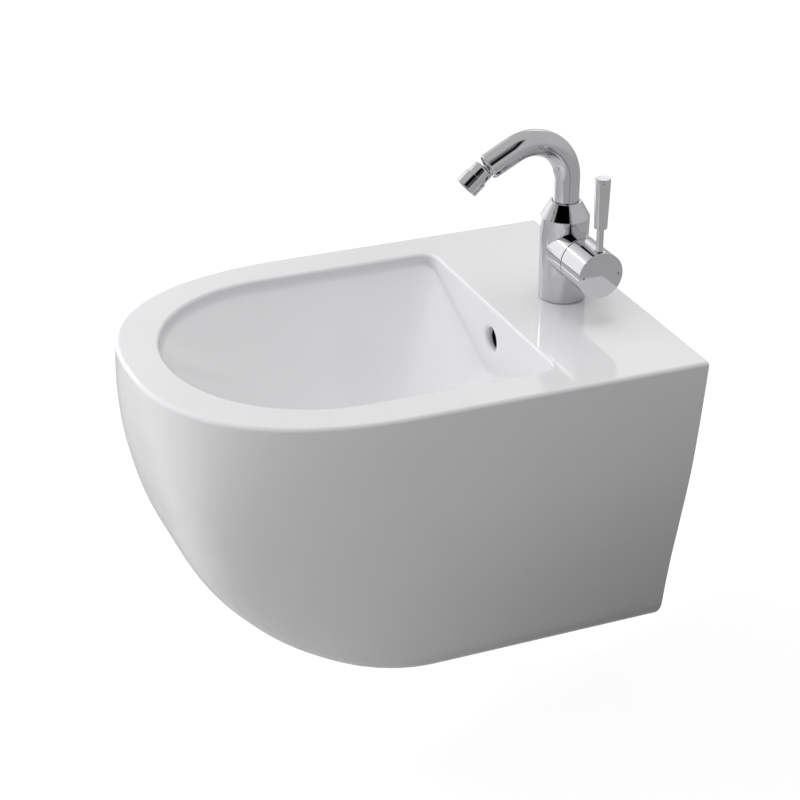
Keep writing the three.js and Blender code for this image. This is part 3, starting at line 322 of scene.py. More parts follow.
@dataclass(frozen=True)
class Finish:
    """A finish whose colour, gloss and relief vary with the place on the piece.

    Colours are linear. Scales are in turns per metre and the relief is in metres.
    """

    name: str
    colour: Colour
    shade: Colour
    gloss: tuple[float, float]
    metallic: float = 0.0
    ior: float = 1.5
    coat: float = 0.0
    patch_scale: float = 30.0
    grain_scale: float = 900.0
    grain_stretch: tuple[float, float, float] = (1.0, 1.0, 1.0)
    patch_detail: float = 3.0
    grain_detail: float = 2.0
    relief: float = 0.0

    def noise(self, tree: bpy.types.NodeTree, scale: float, detail: float) -> bpy.types.Node:
        """Adds a noise texture on Object coordinates."""
        node = tree.nodes.new("ShaderNodeTexNoise")
        node.inputs["Scale"].default_value = scale
        node.inputs["Detail"].default_value = detail
        where = tree.nodes.new("ShaderNodeTexCoord")
        stretch = tree.nodes.new("ShaderNodeMapping")
        stretch.inputs["Scale"].default_value = self.grain_stretch
        tree.links.new(where.outputs["Object"], stretch.inputs["Vector"])
        tree.links.new(stretch.outputs["Vector"], node.inputs["Vector"])
        return node

    def ramp(self, tree: bpy.types.NodeTree, factor: bpy.types.NodeSocket,
             low: Sequence[float], high: Sequence[float], start: float = 0.3,
             end: float = 0.7) -> bpy.types.Node:
        """Adds a colour ramp from one colour to another over part of a factor's range."""
        node = tree.nodes.new("ShaderNodeValToRGB")
        for stop, position, colour in zip(node.color_ramp.elements, (start, end), (low, high)):
            stop.position = position
            stop.color = (*colour, 1)
        tree.links.new(factor, node.inputs["Fac"])
        return node

    def tone(self, tree: bpy.types.NodeTree) -> bpy.types.NodeSocket:
        """Adds slow patches of the finish's two colours."""
        patches = self.noise(tree, self.patch_scale, self.patch_detail)
        return self.ramp(tree, patches.outputs["Fac"], self.colour, self.shade).outputs["Color"]

    def surface(self, tree: bpy.types.NodeTree, shader: bpy.types.Node, grain: bpy.types.Node,
                relief: float) -> None:
        """Joins uneven gloss to the shader, and a relief where the finish has one."""
        low, high = self.gloss
        gloss = self.ramp(tree, grain.outputs["Fac"], (low,) * 3, (high,) * 3)
        tree.links.new(gloss.outputs["Color"], shader.inputs["Roughness"])
        if relief:
            bump = tree.nodes.new("ShaderNodeBump")
            bump.inputs["Distance"].default_value = relief
            tree.links.new(grain.outputs["Fac"], bump.inputs["Height"])
            tree.links.new(bump.outputs["Normal"], shader.inputs["Normal"])

    def detail(self, tree: bpy.types.NodeTree, shader: bpy.types.Node) -> None:
        """Joins patches of colour, uneven gloss and a fine relief to the shader."""
        tree.links.new(self.tone(tree), shader.inputs["Base Color"])
        self.surface(tree, shader, self.noise(tree, self.grain_scale, self.grain_detail), self.relief)

    def material(self) -> bpy.types.Material:
        """Makes the material once and gives it back after that."""
        if self.name in bpy.data.materials:
            return bpy.data.materials[self.name]
        material = new_material(self.name)
        tree = material.node_tree
        shader = tree.nodes["Principled BSDF"]
        shader.inputs["Metallic"].default_value = self.metallic
        shader.inputs["IOR"].default_value = self.ior
        shader.inputs["Coat Weight"].default_value = self.coat
        self.detail(tree, shader)
        return material


@dataclass(frozen=True)
class Glaze(Finish):
    """White glaze: pooled a little unevenly, with slow ripples and a few pin specks."""

    ripple_scale: float = 22.0
    ripple_detail: float = 1.0
    ripple: float = 0.00006
    speck_scale: float = 260.0
    speck: Colour = (0.62, 0.61, 0.58)
    speck_edge: tuple[float, float] = (0.015, 0.03)
    speck_rarity: tuple[float, float] = (0.86, 0.88)

    def detail(self, tree: bpy.types.NodeTree, shader: bpy.types.Node) -> None:
        """Joins the glaze's tone, ripples and specks to the shader."""
        cells = tree.nodes.new("ShaderNodeTexVoronoi")
        cells.inputs["Scale"].default_value = self.speck_scale
        where = tree.nodes.new("ShaderNodeTexCoord")
        tree.links.new(where.outputs["Object"], cells.inputs["Vector"])
        dots = self.ramp(tree, cells.outputs["Distance"], (1, 1, 1), (0, 0, 0), *self.speck_edge)
        mix = tree.nodes.new("ShaderNodeMix")
        mix.data_type = "RGBA"
        mix.inputs["B"].default_value = (*self.speck, 1)
        rare = self.ramp(tree, cells.outputs["Color"], (0, 0, 0), (1, 1, 1), *self.speck_rarity)
        gate = tree.nodes.new("ShaderNodeMath")
        gate.operation = "MULTIPLY"
        tree.links.new(dots.outputs["Color"], gate.inputs[0])
        tree.links.new(rare.outputs["Color"], gate.inputs[1])
        tree.links.new(gate.outputs["Value"], mix.inputs["Factor"])
        tree.links.new(self.tone(tree), mix.inputs["A"])
        tree.links.new(mix.outputs["Result"], shader.inputs["Base Color"])
        self.surface(tree, shader, self.noise(tree, self.ripple_scale, self.ripple_detail), self.ripple)


FINISHES: dict[Slot, Finish] = {
    Slot.GLAZE: Glaze("white_glaze", (0.795, 0.795, 0.808), (0.775, 0.775, 0.788), (0.05, 0.09),
                      patch_scale=9.0),
    Slot.CHROME: Finish("chrome_plate", (0.66, 0.66, 0.675), (0.63, 0.63, 0.645), (0.03, 0.065),
                        metallic=1.0, patch_scale=60.0, grain_scale=240.0, relief=0.0000015),
    Slot.BRASS: Finish("machined_brass", (0.72, 0.55, 0.24), (0.62, 0.45, 0.18), (0.22, 0.38),
                       metallic=1.0, grain_stretch=(1, 1, 9), relief=0.00001),
    Slot.STEEL: Finish("zinc_plated_steel", (0.6, 0.61, 0.63), (0.5, 0.51, 0.52), (0.28, 0.42),
                       metallic=1.0, grain_stretch=(1, 9, 1), relief=0.00001),
    Slot.RUBBER: Finish("black_rubber", (0.014, 0.014, 0.015), (0.024, 0.024, 0.025), (0.62, 0.8),
                        relief=0.00002),
    Slot.WHITE_PLASTIC: Finish("white_plastic", (0.78, 0.78, 0.75), (0.72, 0.72, 0.69), (0.36, 0.5),
                               relief=0.00001),
    Slot.GREY_PLASTIC: Finish("grey_plastic", (0.105, 0.12, 0.14), (0.08, 0.09, 0.105), (0.4, 0.55),
                              relief=0.00001),
    Slot.DISC_CERAMIC: Finish("lapped_ceramic", (0.8, 0.76, 0.66), (0.74, 0.7, 0.6), (0.14, 0.22)),
    Slot.BLUE_ENAMEL: Finish("blue_enamel", (0.012, 0.042, 0.145), (0.02, 0.06, 0.19), (0.16, 0.24),
                             coat=0.3),
    Slot.RED_ENAMEL: Finish("red_enamel", (0.145, 0.012, 0.014), (0.19, 0.02, 0.022), (0.16, 0.24),
                            coat=0.3),
}
# Near-black clay for the overflow's duct and the pocket behind its hole: painted shade for the dark inside
# of the overflow hole.
PAINTED_SHADE_CLAY = Finish("painted_shade_clay", (0.022, 0.021, 0.02), (0.012, 0.012, 0.011), (0.8, 0.95), patch_scale=24.0,
                   grain_scale=700.0, relief=0.00008)
# Near-black metal for the boss's bore and sunk face: painted shade for the dark gap between the tap body's
# boss and the handle's hub.
PAINTED_GAP_SHADE = Finish("painted_gap_shade_metal", (0.022, 0.022, 0.023), (0.014, 0.014, 0.015), (0.5, 0.7),
                   relief=0.00001)
BARE_CLAY = Finish("bare_clay", (0.72, 0.7, 0.66), (0.62, 0.6, 0.55), (0.6, 0.8), patch_scale=24.0,
                   grain_scale=700.0, relief=0.00008)


def dress(piece: bpy.types.Object, slot: Slot, body: Body, *nodes: str) -> None:
    """Gives a piece its finish and body, and hides the nodes of the frame that it stands for.

    Args:
        piece: The finished piece.
        slot: The record's slot whose finish it takes.
        body: The body that it rides on.
        nodes: The nodes of the frame that it replaces.
    """
    if not any(piece.data.materials):
        piece.data.materials.clear()
        piece.data.materials.append(FINISHES[slot].material())
    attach(piece, body.value)
    if nodes:
        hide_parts(*nodes)
    LOG.info("%s: %d faces on %s", piece.name, len(piece.data.polygons), body.value)


# Ceramic


@dataclass
class CeramicBody:
    """The hollow casting: a D-shaped body that narrows downwards, with bowl, deck and openings."""

    width: float = 0.360
    reach: float = 0.485
    height: float = 0.306
    rim_top: float = RIM_TOP
    side_straight: float = 0.265
    top_edge: float = 0.004
    bottom_edge: float = 0.024
    rear_edge: float = 0.0014
    wall: float = 0.011
    rear_wall: float = 0.012
    rim_thickness: float = 0.018
    height_shares: tuple[float, ...] = (0, 0.2, 0.4, 0.6, 0.75, 0.88, 0.96, 1)
    width_shares: tuple[float, ...] = (1, 0.957, 0.904, 0.828, 0.769, 0.727, 0.706, 0.694)
    reach_shares: tuple[float, ...] = (1, 0.989, 0.967, 0.926, 0.858, 0.764, 0.66, 0.58)
    bend_heights: tuple[float, ...] = (0, 0.5, 1)
    straight_shares: tuple[float, ...] = (1, 0.84, 0.824)
    nose_exponents: tuple[float, ...] = (2.41, 4.29, 3.75)
    deck_depth: float = 0.1317
    rim_side: float = 0.0407
    rim_front: float = 0.0365
    bowl_straight: float = 0.3095
    bowl_exponent: float = 2.06
    bowl_corner: float = 0.014
    bowl_edge: float = 0.003
    lip_depth: float = 0.0105
    floor_fillet: float = 0.0045
    rear_fillet: float = 0.0028
    rear_wall_depth: float = 0.076
    valley: float = 0.016
    bowl_depth: float = 0.104
    bowl_curve: float = 1.25
    waste_setback: float = WASTE_SETBACK
    waste_seat: float = 0.034
    waste_recess: float = 0.0325
    waste_seat_depth: float = 0.004
    waste_hole: float = 0.023
    waste_boss: float = 0.037
    waste_boss_depth: float = 0.034
    waste_edge: float = 0.0008
    overflow_radius: float = 0.0108
    overflow_depth: float = 0.0336
    overflow_edge: float = 0.0052
    overflow_wall: float = 0.0072
    overflow_pocket: float = 0.0155
    duct_depth: float = 0.012
    duct_width: float = 0.034
    duct_wall: float = 0.007
    duct_top: float = 0.021
    duct_bend: float = 0.096
    duct_mouth: float = 0.011
    tap_setback: float = TAP_SETBACK
    tap_hole: float = 0.0175
    stud_spacing: float = 0.180
    stud_hole: float = 0.008
    stud_pad: float = 0.021
    stud_pad_depth: float = 0.008
    window: tuple[float, float, float] = (0.128, 0.150, 0.014)
    window_top: float = 0.036
    hatch: tuple[float, float, float] = (0.168, 0.196, 0.024)
    hatch_rear: float = 0.034
    overrun: float = OVERRUN
    nose_points: int = 168
    rear_points: int = 18
    corner_points: int = 4

    def superellipse(self, width: float, straight: float, reach: float, exponent: float) -> Profile:
        """The rounded nose of an outline, finely stepped, from +X to -X."""
        steps = 1200
        points = []
        for k in range(steps + 1):
            angle = math.pi * k / steps
            cosine, sine = math.cos(angle), abs(math.sin(angle))
            across = math.copysign(abs(cosine) ** (2 / exponent), cosine)
            points.append((width * across, -straight - (reach - straight) * sine ** (2 / exponent)))
        return points

    def outline(self, width: float, straight: float, reach: float, exponent: float, rear: float,
                corner: float, corner_points: int) -> Profile:
        """A D-shaped outline, from the rear corner on +X round the nose and back along the rear.

        Args:
            width: Half the width.
            straight: How far out the straight sides run.
            reach: How far out the nose runs.
            exponent: How square the nose is.
            rear: Distance of the rear edge from the wall.
            corner: Radius of the two rear corners.
            corner_points: Steps along each rear corner.

        Returns:
            The points, which don't repeat the first at the end.
        """
        nose = self.superellipse(width, straight, reach, exponent)
        line = [(width, -rear - corner), *nose, (-width, -rear - corner)]
        turn = [(k + 1) / corner_points * math.pi / 2 for k in range(corner_points)]
        inner = width - corner
        left = [(-inner - corner * math.cos(a), -rear - corner + corner * math.sin(a)) for a in turn]
        right = [(inner + corner * math.sin(a), -rear - corner + corner * math.cos(a)) for a in turn[:-1]]
        back = [(-inner + 2 * inner * k / self.rear_points, -rear) for k in range(1, self.rear_points)]
        return [*spaced(line, self.nose_points), *left, *back, (inner, -rear), *right]

    def body_ring(self, depth: float, inset: float, rear: float) -> Ring:
        """The outline of the body at a depth below the rim, drawn in by an inset."""
        share = depth / self.height
        width = self.width / 2 * spline(self.height_shares, self.width_shares, share) - inset
        reach = self.reach * spline(self.height_shares, self.reach_shares, share) - inset
        straight = self.side_straight * spline(self.bend_heights, self.straight_shares, share)
        exponent = spline(self.bend_heights, self.nose_exponents, share)
        points = self.outline(width, straight, reach, exponent, rear, self.rear_edge, self.corner_points)
        return [Vector((x, y, self.rim_top - depth)) for x, y in points]

    def body_form(self, name: str, inset: float, rear: float, top: float, rise: float, top_edge: float,
                  bottom_edge: float, rows: int) -> bpy.types.Object:
        """The outside of the body, or the same form drawn in by a wall for its hollow.

        Args:
            name: The piece's name.
            inset: How far the sides are drawn in.
            rear: Distance of its rear face from the wall.
            top: Depth of its top below the rim.
            rise: Height of its underside above the body's.
            top_edge: Radius of the upper edge.
            bottom_edge: Radius of the lower edge.
            rows: Rows of faces between the two edges.

        Returns:
            The closed form.
        """
        edge_steps, rear_share = 8, 0.3
        rings = []
        for k in range(edge_steps + 1):
            angle = math.pi / 2 * k / edge_steps
            draw = top_edge * (1 - math.sin(angle))
            depth = top + top_edge * (1 - math.cos(angle))
            rings.append(self.body_ring(depth, inset + draw, rear + rear_share * draw))
        low = self.height - rise - bottom_edge
        high = top + top_edge
        for k in range(1, rows):
            rings.append(self.body_ring(high + (low - high) * k / rows, inset, rear))
        for k in range(edge_steps + 1):
            angle = math.pi / 2 * k / edge_steps
            draw = bottom_edge * (1 - math.cos(angle))
            depth = low + bottom_edge * math.sin(angle)
            rings.append(self.body_ring(depth, inset + draw, rear + draw * self.rear_edge / bottom_edge))
        return loft(name, rings)

    def bowl_outline(self, grow: float) -> Profile:
        """The bowl's outline, grown outwards all round."""
        steps = 3 * self.corner_points
        return self.outline(self.width / 2 - self.rim_side + grow, self.bowl_straight,
                            self.reach - self.rim_front + grow, self.bowl_exponent,
                            self.deck_depth - grow, self.bowl_corner + grow, steps)

    def floor_edge(self, x: float, at_rear: bool) -> float:
        """Depth at which the upright wall gives way to the dished floor."""
        if not at_rear:
            return self.lip_depth
        reach = self.width / 2 - self.rim_side
        across = math.hypot(x, self.valley) * reach / math.hypot(reach, self.valley)
        return self.lip_depth + (self.rear_wall_depth - self.lip_depth) * max(0.0, 1 - across / reach)

    def section(self, spot: tuple[float, float], at_rear: bool, grow: float, rows: int) -> Ring:
        """One line down the bowl's wall, round into the floor and in to the waste's seat."""
        centre = Vector((0, -self.waste_setback, self.rim_top))
        away = Vector((*spot, self.rim_top)) - centre
        length, direction = away.length, away.normalized()
        edge = self.floor_edge(spot[0], at_rear) + grow
        fillet = self.rear_fillet if at_rear else self.floor_fillet
        seat, depth = self.waste_seat + grow, self.bowl_depth + grow

        def dish(share: float) -> Vector:
            """A point of the dished floor, from 0 at the waste's seat to 1 at the wall."""
            down = edge + (depth - edge) * (1 - share ** self.bowl_curve)
            return centre + direction * (length * share + seat * (1 - share)) - Vector((0, 0, down))

        first = 1 - fillet / math.hypot(length - seat, (depth - edge) * self.bowl_curve)
        corner = dish(1)
        above, beyond = corner + Vector((0, 0, fillet)), dish(first)
        upright, steps = 3, 7
        high = Vector((*spot, self.rim_top - self.bowl_edge))
        line = [high.lerp(above, k / upright) for k in range(1, upright)]
        for k in range(steps + 1):
            share = k / steps
            line.append(above.lerp(corner, share).lerp(corner.lerp(beyond, share), share))
        return line + [dish(first * (1 - k / rows)) for k in range(1, rows + 1)]

    def bowl_form(self, name: str, grow: float, rows: int) -> bpy.types.Object:
        """The bowl's inside as a solid, from above the rim down to the waste's seat."""
        outline = self.bowl_outline(grow)
        rear_from = self.nose_points
        sections = []
        for k, spot in enumerate(outline):
            at_rear = k >= rear_from
            sections.append(self.section(spot, at_rear, grow, rows))
        rings = [[Vector((x, y, self.rim_top + self.overrun))
                  for x, y in self.bowl_outline(grow + self.bowl_edge)]]
        edge_steps = 7
        for k in range(edge_steps + 1):
            angle = math.pi / 2 * k / edge_steps
            level = self.rim_top - self.bowl_edge * (1 - math.cos(angle))
            spread = self.bowl_edge * (1 - math.sin(angle))
            rings.append([Vector((x, y, level)) for x, y in self.bowl_outline(grow + spread)])
        rings += [[line[row] for line in sections] for row in range(len(sections[0]))]
        if not grow:
            rings += self.waste_rings(rings[-1])
        return loft(name, rings)

    def waste_rings(self, seat: Ring) -> list[Ring]:
        """The recess for the waste's flange and the hole below it, from the seat's outline."""
        floor = self.bowl_depth + self.waste_seat_depth
        edge = self.waste_edge
        end = floor + self.waste_boss_depth + self.overrun
        steps = [(self.waste_recess, self.bowl_depth + edge), (self.waste_recess, floor - edge),
                 (self.waste_recess - edge, floor), (self.waste_hole + edge, floor),
                 (self.waste_hole, floor + edge), (self.waste_hole, end)]
        centre = Vector((0, -self.waste_setback, 0))
        rings = []
        for radius, depth in steps:
            rings.append([centre + ((point - centre).to_2d().normalized() * radius).to_3d()
                          + Vector((0, 0, self.rim_top - depth)) for point in seat])
        return rings

    def duct(self, name: str, grow: float) -> bpy.types.Object:
        """The overflow's way down behind the rear wall and forward to the waste."""
        clearance = 0.0003
        front = -self.deck_depth + self.wall - clearance
        back = front + self.duct_depth
        mouth = -self.waste_setback + self.waste_hole - self.duct_wall / 2
        mouth_top = self.bowl_depth + self.waste_seat_depth + self.duct_wall
        outline = [
            (front - grow, self.duct_top - grow),
            (back + grow, self.duct_top - grow),
            (back + grow, self.duct_bend + grow),
            (mouth, mouth_top + self.duct_mouth + grow),
            (mouth, mouth_top - grow),
            (front - grow, self.duct_bend - self.duct_mouth + grow / 2),
        ]
        half = self.duct_width / 2 + grow
        return loft(name, [[Vector((x, y, self.rim_top - depth)) for y, depth in outline]
                           for x in (-half, half)])

    def slab(self, name: str, size: tuple[float, float, float], low: float, high: float,
             turn: Matrix) -> bpy.types.Object:
        """A slab with rounded corners, of a width, length and corner radius, put in its place."""
        width, length, radius = size
        steps = 8
        outline = []
        for quarter in range(4):
            start = quarter * math.pi / 2
            middle_x = math.copysign(width / 2 - radius, math.cos(start + math.pi / 4))
            middle_y = math.copysign(length / 2 - radius, math.sin(start + math.pi / 4))
            for k in range(steps + 1):
                angle = start + math.pi / 2 * k / steps
                outline.append((middle_x + radius * math.cos(angle), middle_y + radius * math.sin(angle)))
        return place(loft(name, [[Vector((x, y, z)) for x, y in outline] for z in (low, high)]), turn)

    def rod(self, name: str, radius: float, low: float, high: float, turn: Matrix) -> bpy.types.Object:
        """A plain rod along Z, put in its place."""
        return place(lathe(name, [(radius, low), (radius, high)], SIDES_MEDIUM), turn)

    def hollow(self) -> bpy.types.Object:
        """The space inside the casting, in bare clay, clear of bowl, duct, waste boss and stud pads."""
        rows = 14
        form = self.body_form("hollow", self.wall, self.rear_wall, self.rim_thickness, self.wall,
                              self.top_edge, self.bottom_edge - self.wall, rows)
        floor = self.rim_top - self.bowl_depth
        waste = Matrix.Translation((0, -self.waste_setback, floor))
        low = -self.waste_seat_depth - self.waste_boss_depth
        carve(form, self.bowl_form("under_bowl", self.wall, rows), self.duct("duct_wall", self.duct_wall),
              self.rod("boss", self.waste_boss, low, self.overrun, waste))
        pad = self.rear_wall + self.stud_pad_depth
        for side in (-1, 1):
            carve(form, self.rod("pad", self.stud_pad, 0, pad, self.stud_line(side)))
        form.data.materials.append(BARE_CLAY.material())
        return form

    def stud_line(self, side: int) -> Matrix:
        """The line of a wall stud: local +Z runs from the wall into the body."""
        line = Matrix.Translation((side * self.stud_spacing / 2, 0, 0))
        return line @ Matrix.Rotation(math.pi / 2, 4, "X")

    def overflow(self) -> bpy.types.Object:
        """The overflow hole with its rounded rim, cut from the bowl into the duct."""
        radius, edge = self.overflow_radius, self.overflow_edge
        profile = [(radius + edge, -self.overrun), *arc(radius + edge, edge, edge, -90, -180, steps=7),
                   (radius, self.wall + self.overrun)]
        line = Matrix.Translation((0, -self.deck_depth, self.rim_top - self.overflow_depth))
        return place(lathe("overflow", profile), line @ Matrix.Rotation(-math.pi / 2, 4, "X"))

    def pocket(self) -> bpy.types.Object:
        """The hollow behind the overflow hole that leaves only a thin lip round it."""
        line = Matrix.Translation((0, -self.deck_depth, self.rim_top - self.overflow_depth))
        turn = line @ Matrix.Rotation(-math.pi / 2, 4, "X")
        return self.rod("pocket", self.overflow_pocket, self.overflow_wall, self.wall + self.overrun, turn)

    def build(self) -> None:
        """Casts the body, opens it and glazes it."""
        rows, bowl_rows = 44, 26
        body = self.body_form("ceramic_casting", 0, 0, 0, 0, self.top_edge, self.bottom_edge, rows)
        body.data.materials.append(FINISHES[Slot.GLAZE].material())
        underside = self.rim_top - self.height
        hatch_at = Matrix.Translation((0, -self.hatch_rear - self.hatch[1] / 2, underside))
        window_at = Matrix.Translation((0, 0, -self.window_top - self.window[1] / 2))
        window_at = window_at @ Matrix.Rotation(math.pi / 2, 4, "X")
        bowl = self.bowl_form("bowl", 0, bowl_rows)
        overflow = self.overflow()
        for tool in (bowl, overflow):
            tool.data.materials.append(FINISHES[Slot.GLAZE].material())
        # The duct and the pocket carry the near-black clay onto the faces they cut: painted shade inside
        # the overflow hole.
        duct, pocket = self.duct("duct", 0), self.pocket()
        for tool in (duct, pocket):
            tool.data.materials.append(PAINTED_SHADE_CLAY.material())
        deck = Matrix.Translation((0, -self.tap_setback, self.rim_top))
        tools = [
            self.hollow(), bowl,
            self.slab("hatch", self.hatch, -self.overrun, self.wall + self.overrun, hatch_at),
            self.slab("window", self.window, -self.overrun, self.rear_wall + self.overrun, window_at),
            duct, pocket, overflow,
            self.rod("tap_hole", self.tap_hole, -self.rim_thickness - self.overrun, self.overrun, deck),
        ]
        pad = self.rear_wall + self.stud_pad_depth + self.overrun
        tools += [self.rod("stud_hole", self.stud_hole, -self.overrun, pad, self.stud_line(side))
                  for side in (-1, 1)]
        for tool in tools:
            if not tool.data.materials:
                tool.data.materials.append(BARE_CLAY.material())
        carve(body, *tools)
        polish(body)
        dress(body, Slot.GLAZE, Body.FIXTURE, "ceramic_body")


# Waste


@dataclass
class WasteFitting:
    """The pop-up waste: a flanged, slotted body in the bowl's floor and the cap of its plug."""

    setback: float = WASTE_SETBACK
    seat: float = -0.033
    flange_radius: float = 0.031
    flange_low: float = 0.002
    flange: float = 0.0022
    flange_dish: float = 0.005
    tube: float = 0.0208
    tube_wall: float = 0.0034
    tube_length: float = 0.082
    slot: tuple[float, float] = (0.013, 0.011)
    slot_top: float = -0.0073
    bar: float = 0.0034
    bar_height: float = 0.004
    spider_drop: float = 0.028
    hub: float = 0.0076
    latch_hole: float = 0.0054
    cap_radius: float = 0.028
    cap_edge: float = 0.002
    cap_rise: float = 0.0032
    cap_wall: float = 0.0012
    cap_rim: float = 0.0035
    crown_power: float = 0.8
    crown_steps: int = 14
    edge: float = 0.0006
    gap: float = 0.0003

    def place_in_bowl(self, piece: bpy.types.Object) -> bpy.types.Object:
        """Puts a piece that was turned about Z on the waste's seat."""
        return place(piece, Matrix.Translation((0, -self.setback, self.seat)))

    def block(self, width: float, length: float, low: float, high: float, turn: float) -> bpy.types.Object:
        """A bar across the waste, turned about its axis."""
        middle = (low + high) / 2
        deselect()
        bpy.ops.mesh.primitive_cube_add(size=1, location=(0, 0, middle),
                                        scale=(width, length, high - low), rotation=(0, 0, turn))
        bar = new_piece("bar")
        return place(bar, bar.matrix_world.copy())

    def build_body(self) -> None:
        """Turns the flanged body, cuts its slots and sets the spider across it."""
        top = self.flange_low + self.flange
        bore = self.tube - self.tube_wall
        dish = self.flange_dish
        body = lathe("waste_flange_body", rounded([
            (self.tube, -self.tube_length, self.edge), (self.tube, self.flange_low),
            (self.flange_radius, self.flange_low, self.edge), (self.flange_radius, top, self.edge),
            (bore + dish, top, dish / 2), (bore, top - dish, dish / 4),
            (bore, -self.tube_length, self.edge)]), ring=True)
        width, height = self.slot
        for k in range(2):
            carve(body, self.block(width, 3 * self.tube, self.slot_top - height, self.slot_top,
                                   k * math.pi / 2))
        low, high = -self.spider_drop - self.bar_height / 2, -self.spider_drop + self.bar_height / 2
        for k in range(2):
            combine(body, self.block(self.bar, 2 * bore + self.tube_wall, low, high, k * math.pi / 2),
                    Cut.ADD)
        hub = lathe("hub", [(self.hub, low), (self.hub, high)])
        combine(body, hub, Cut.ADD)
        carve(body, lathe("latch_hole", [(self.latch_hole, 2 * low), (self.latch_hole, 0)]))
        polish(self.place_in_bowl(body))
        dress(body, Slot.CHROME, Body.FIXTURE, "waste_body")

    def build_cap(self) -> None:
        """Turns the crowned cap of the plug, hollow below."""
        low, flat_steps = self.flange_low + self.flange + self.gap, 3
        edge_top = low + self.cap_edge
        shoulder = self.cap_radius - self.cap_edge
        underside = low + self.cap_wall
        angles = [math.pi / 2 * k / self.crown_steps for k in range(flat_steps, self.crown_steps)]
        rise, power = self.cap_rise, self.crown_power
        crown = [(shoulder * math.cos(angle), edge_top + rise * math.sin(angle) ** power)
                 for angle in angles]
        recess = self.cap_radius - self.cap_rim
        cap = lathe("plug_crown", [
            (self.hub, underside), (recess, underside), (recess + self.cap_wall, low),
            *rounded([(recess, low), (self.cap_radius, low, self.edge),
                      (self.cap_radius, edge_top, self.edge), (shoulder, edge_top)])[1:-1],
            *crown])
        polish(self.place_in_bowl(cap), CROWN_ANGLE)
        dress(cap, Slot.CHROME, Body.PLUG, "plug_cap")

    def build(self) -> None:
        """Builds the body and the cap."""
        self.build_body()
        self.build_cap()


# Tap


@dataclass
class Tap:
    """Where the tap's lines run, shared by its body, spout, nozzle and handle."""

    setback: float = TAP_SETBACK
    deck: float = RIM_TOP
    hub_height: float = 0.0505
    bend_height: float = 0.120
    bend_radius: float = 0.038
    bend: float = math.radians(118.1)
    tail: float = 0.0282
    ball_reach: float = 0.008
    droop: float = math.radians(14)

    def foot(self) -> Matrix:
        """The tap's axis, with local z = 0 on the deck."""
        return Matrix.Translation((0, -self.setback, self.deck))

    def hub_line(self) -> Matrix:
        """The hub's axis: local +Z runs out along it and local -X points up."""
        centre = self.foot() @ Matrix.Translation((0, 0, self.hub_height))
        return centre @ Matrix.Rotation(math.pi / 2, 4, "Y")

    def spout_line(self, turn: float, beyond: float) -> Matrix:
        """A place on the spout's line: round the bend, then on along the straight."""
        centre = Matrix.Translation((0, -self.bend_radius, self.bend_height))
        outward = Matrix.Translation((0, self.bend_radius, beyond))
        return self.foot() @ centre @ Matrix.Rotation(turn, 4, "X") @ outward

    def nozzle_line(self) -> Matrix:
        """The nozzle's axis, with local z = 0 at the centre of its ball."""
        ball = self.spout_line(self.bend, self.tail + self.ball_reach)
        return ball @ Matrix.Rotation(self.droop, 4, "X")


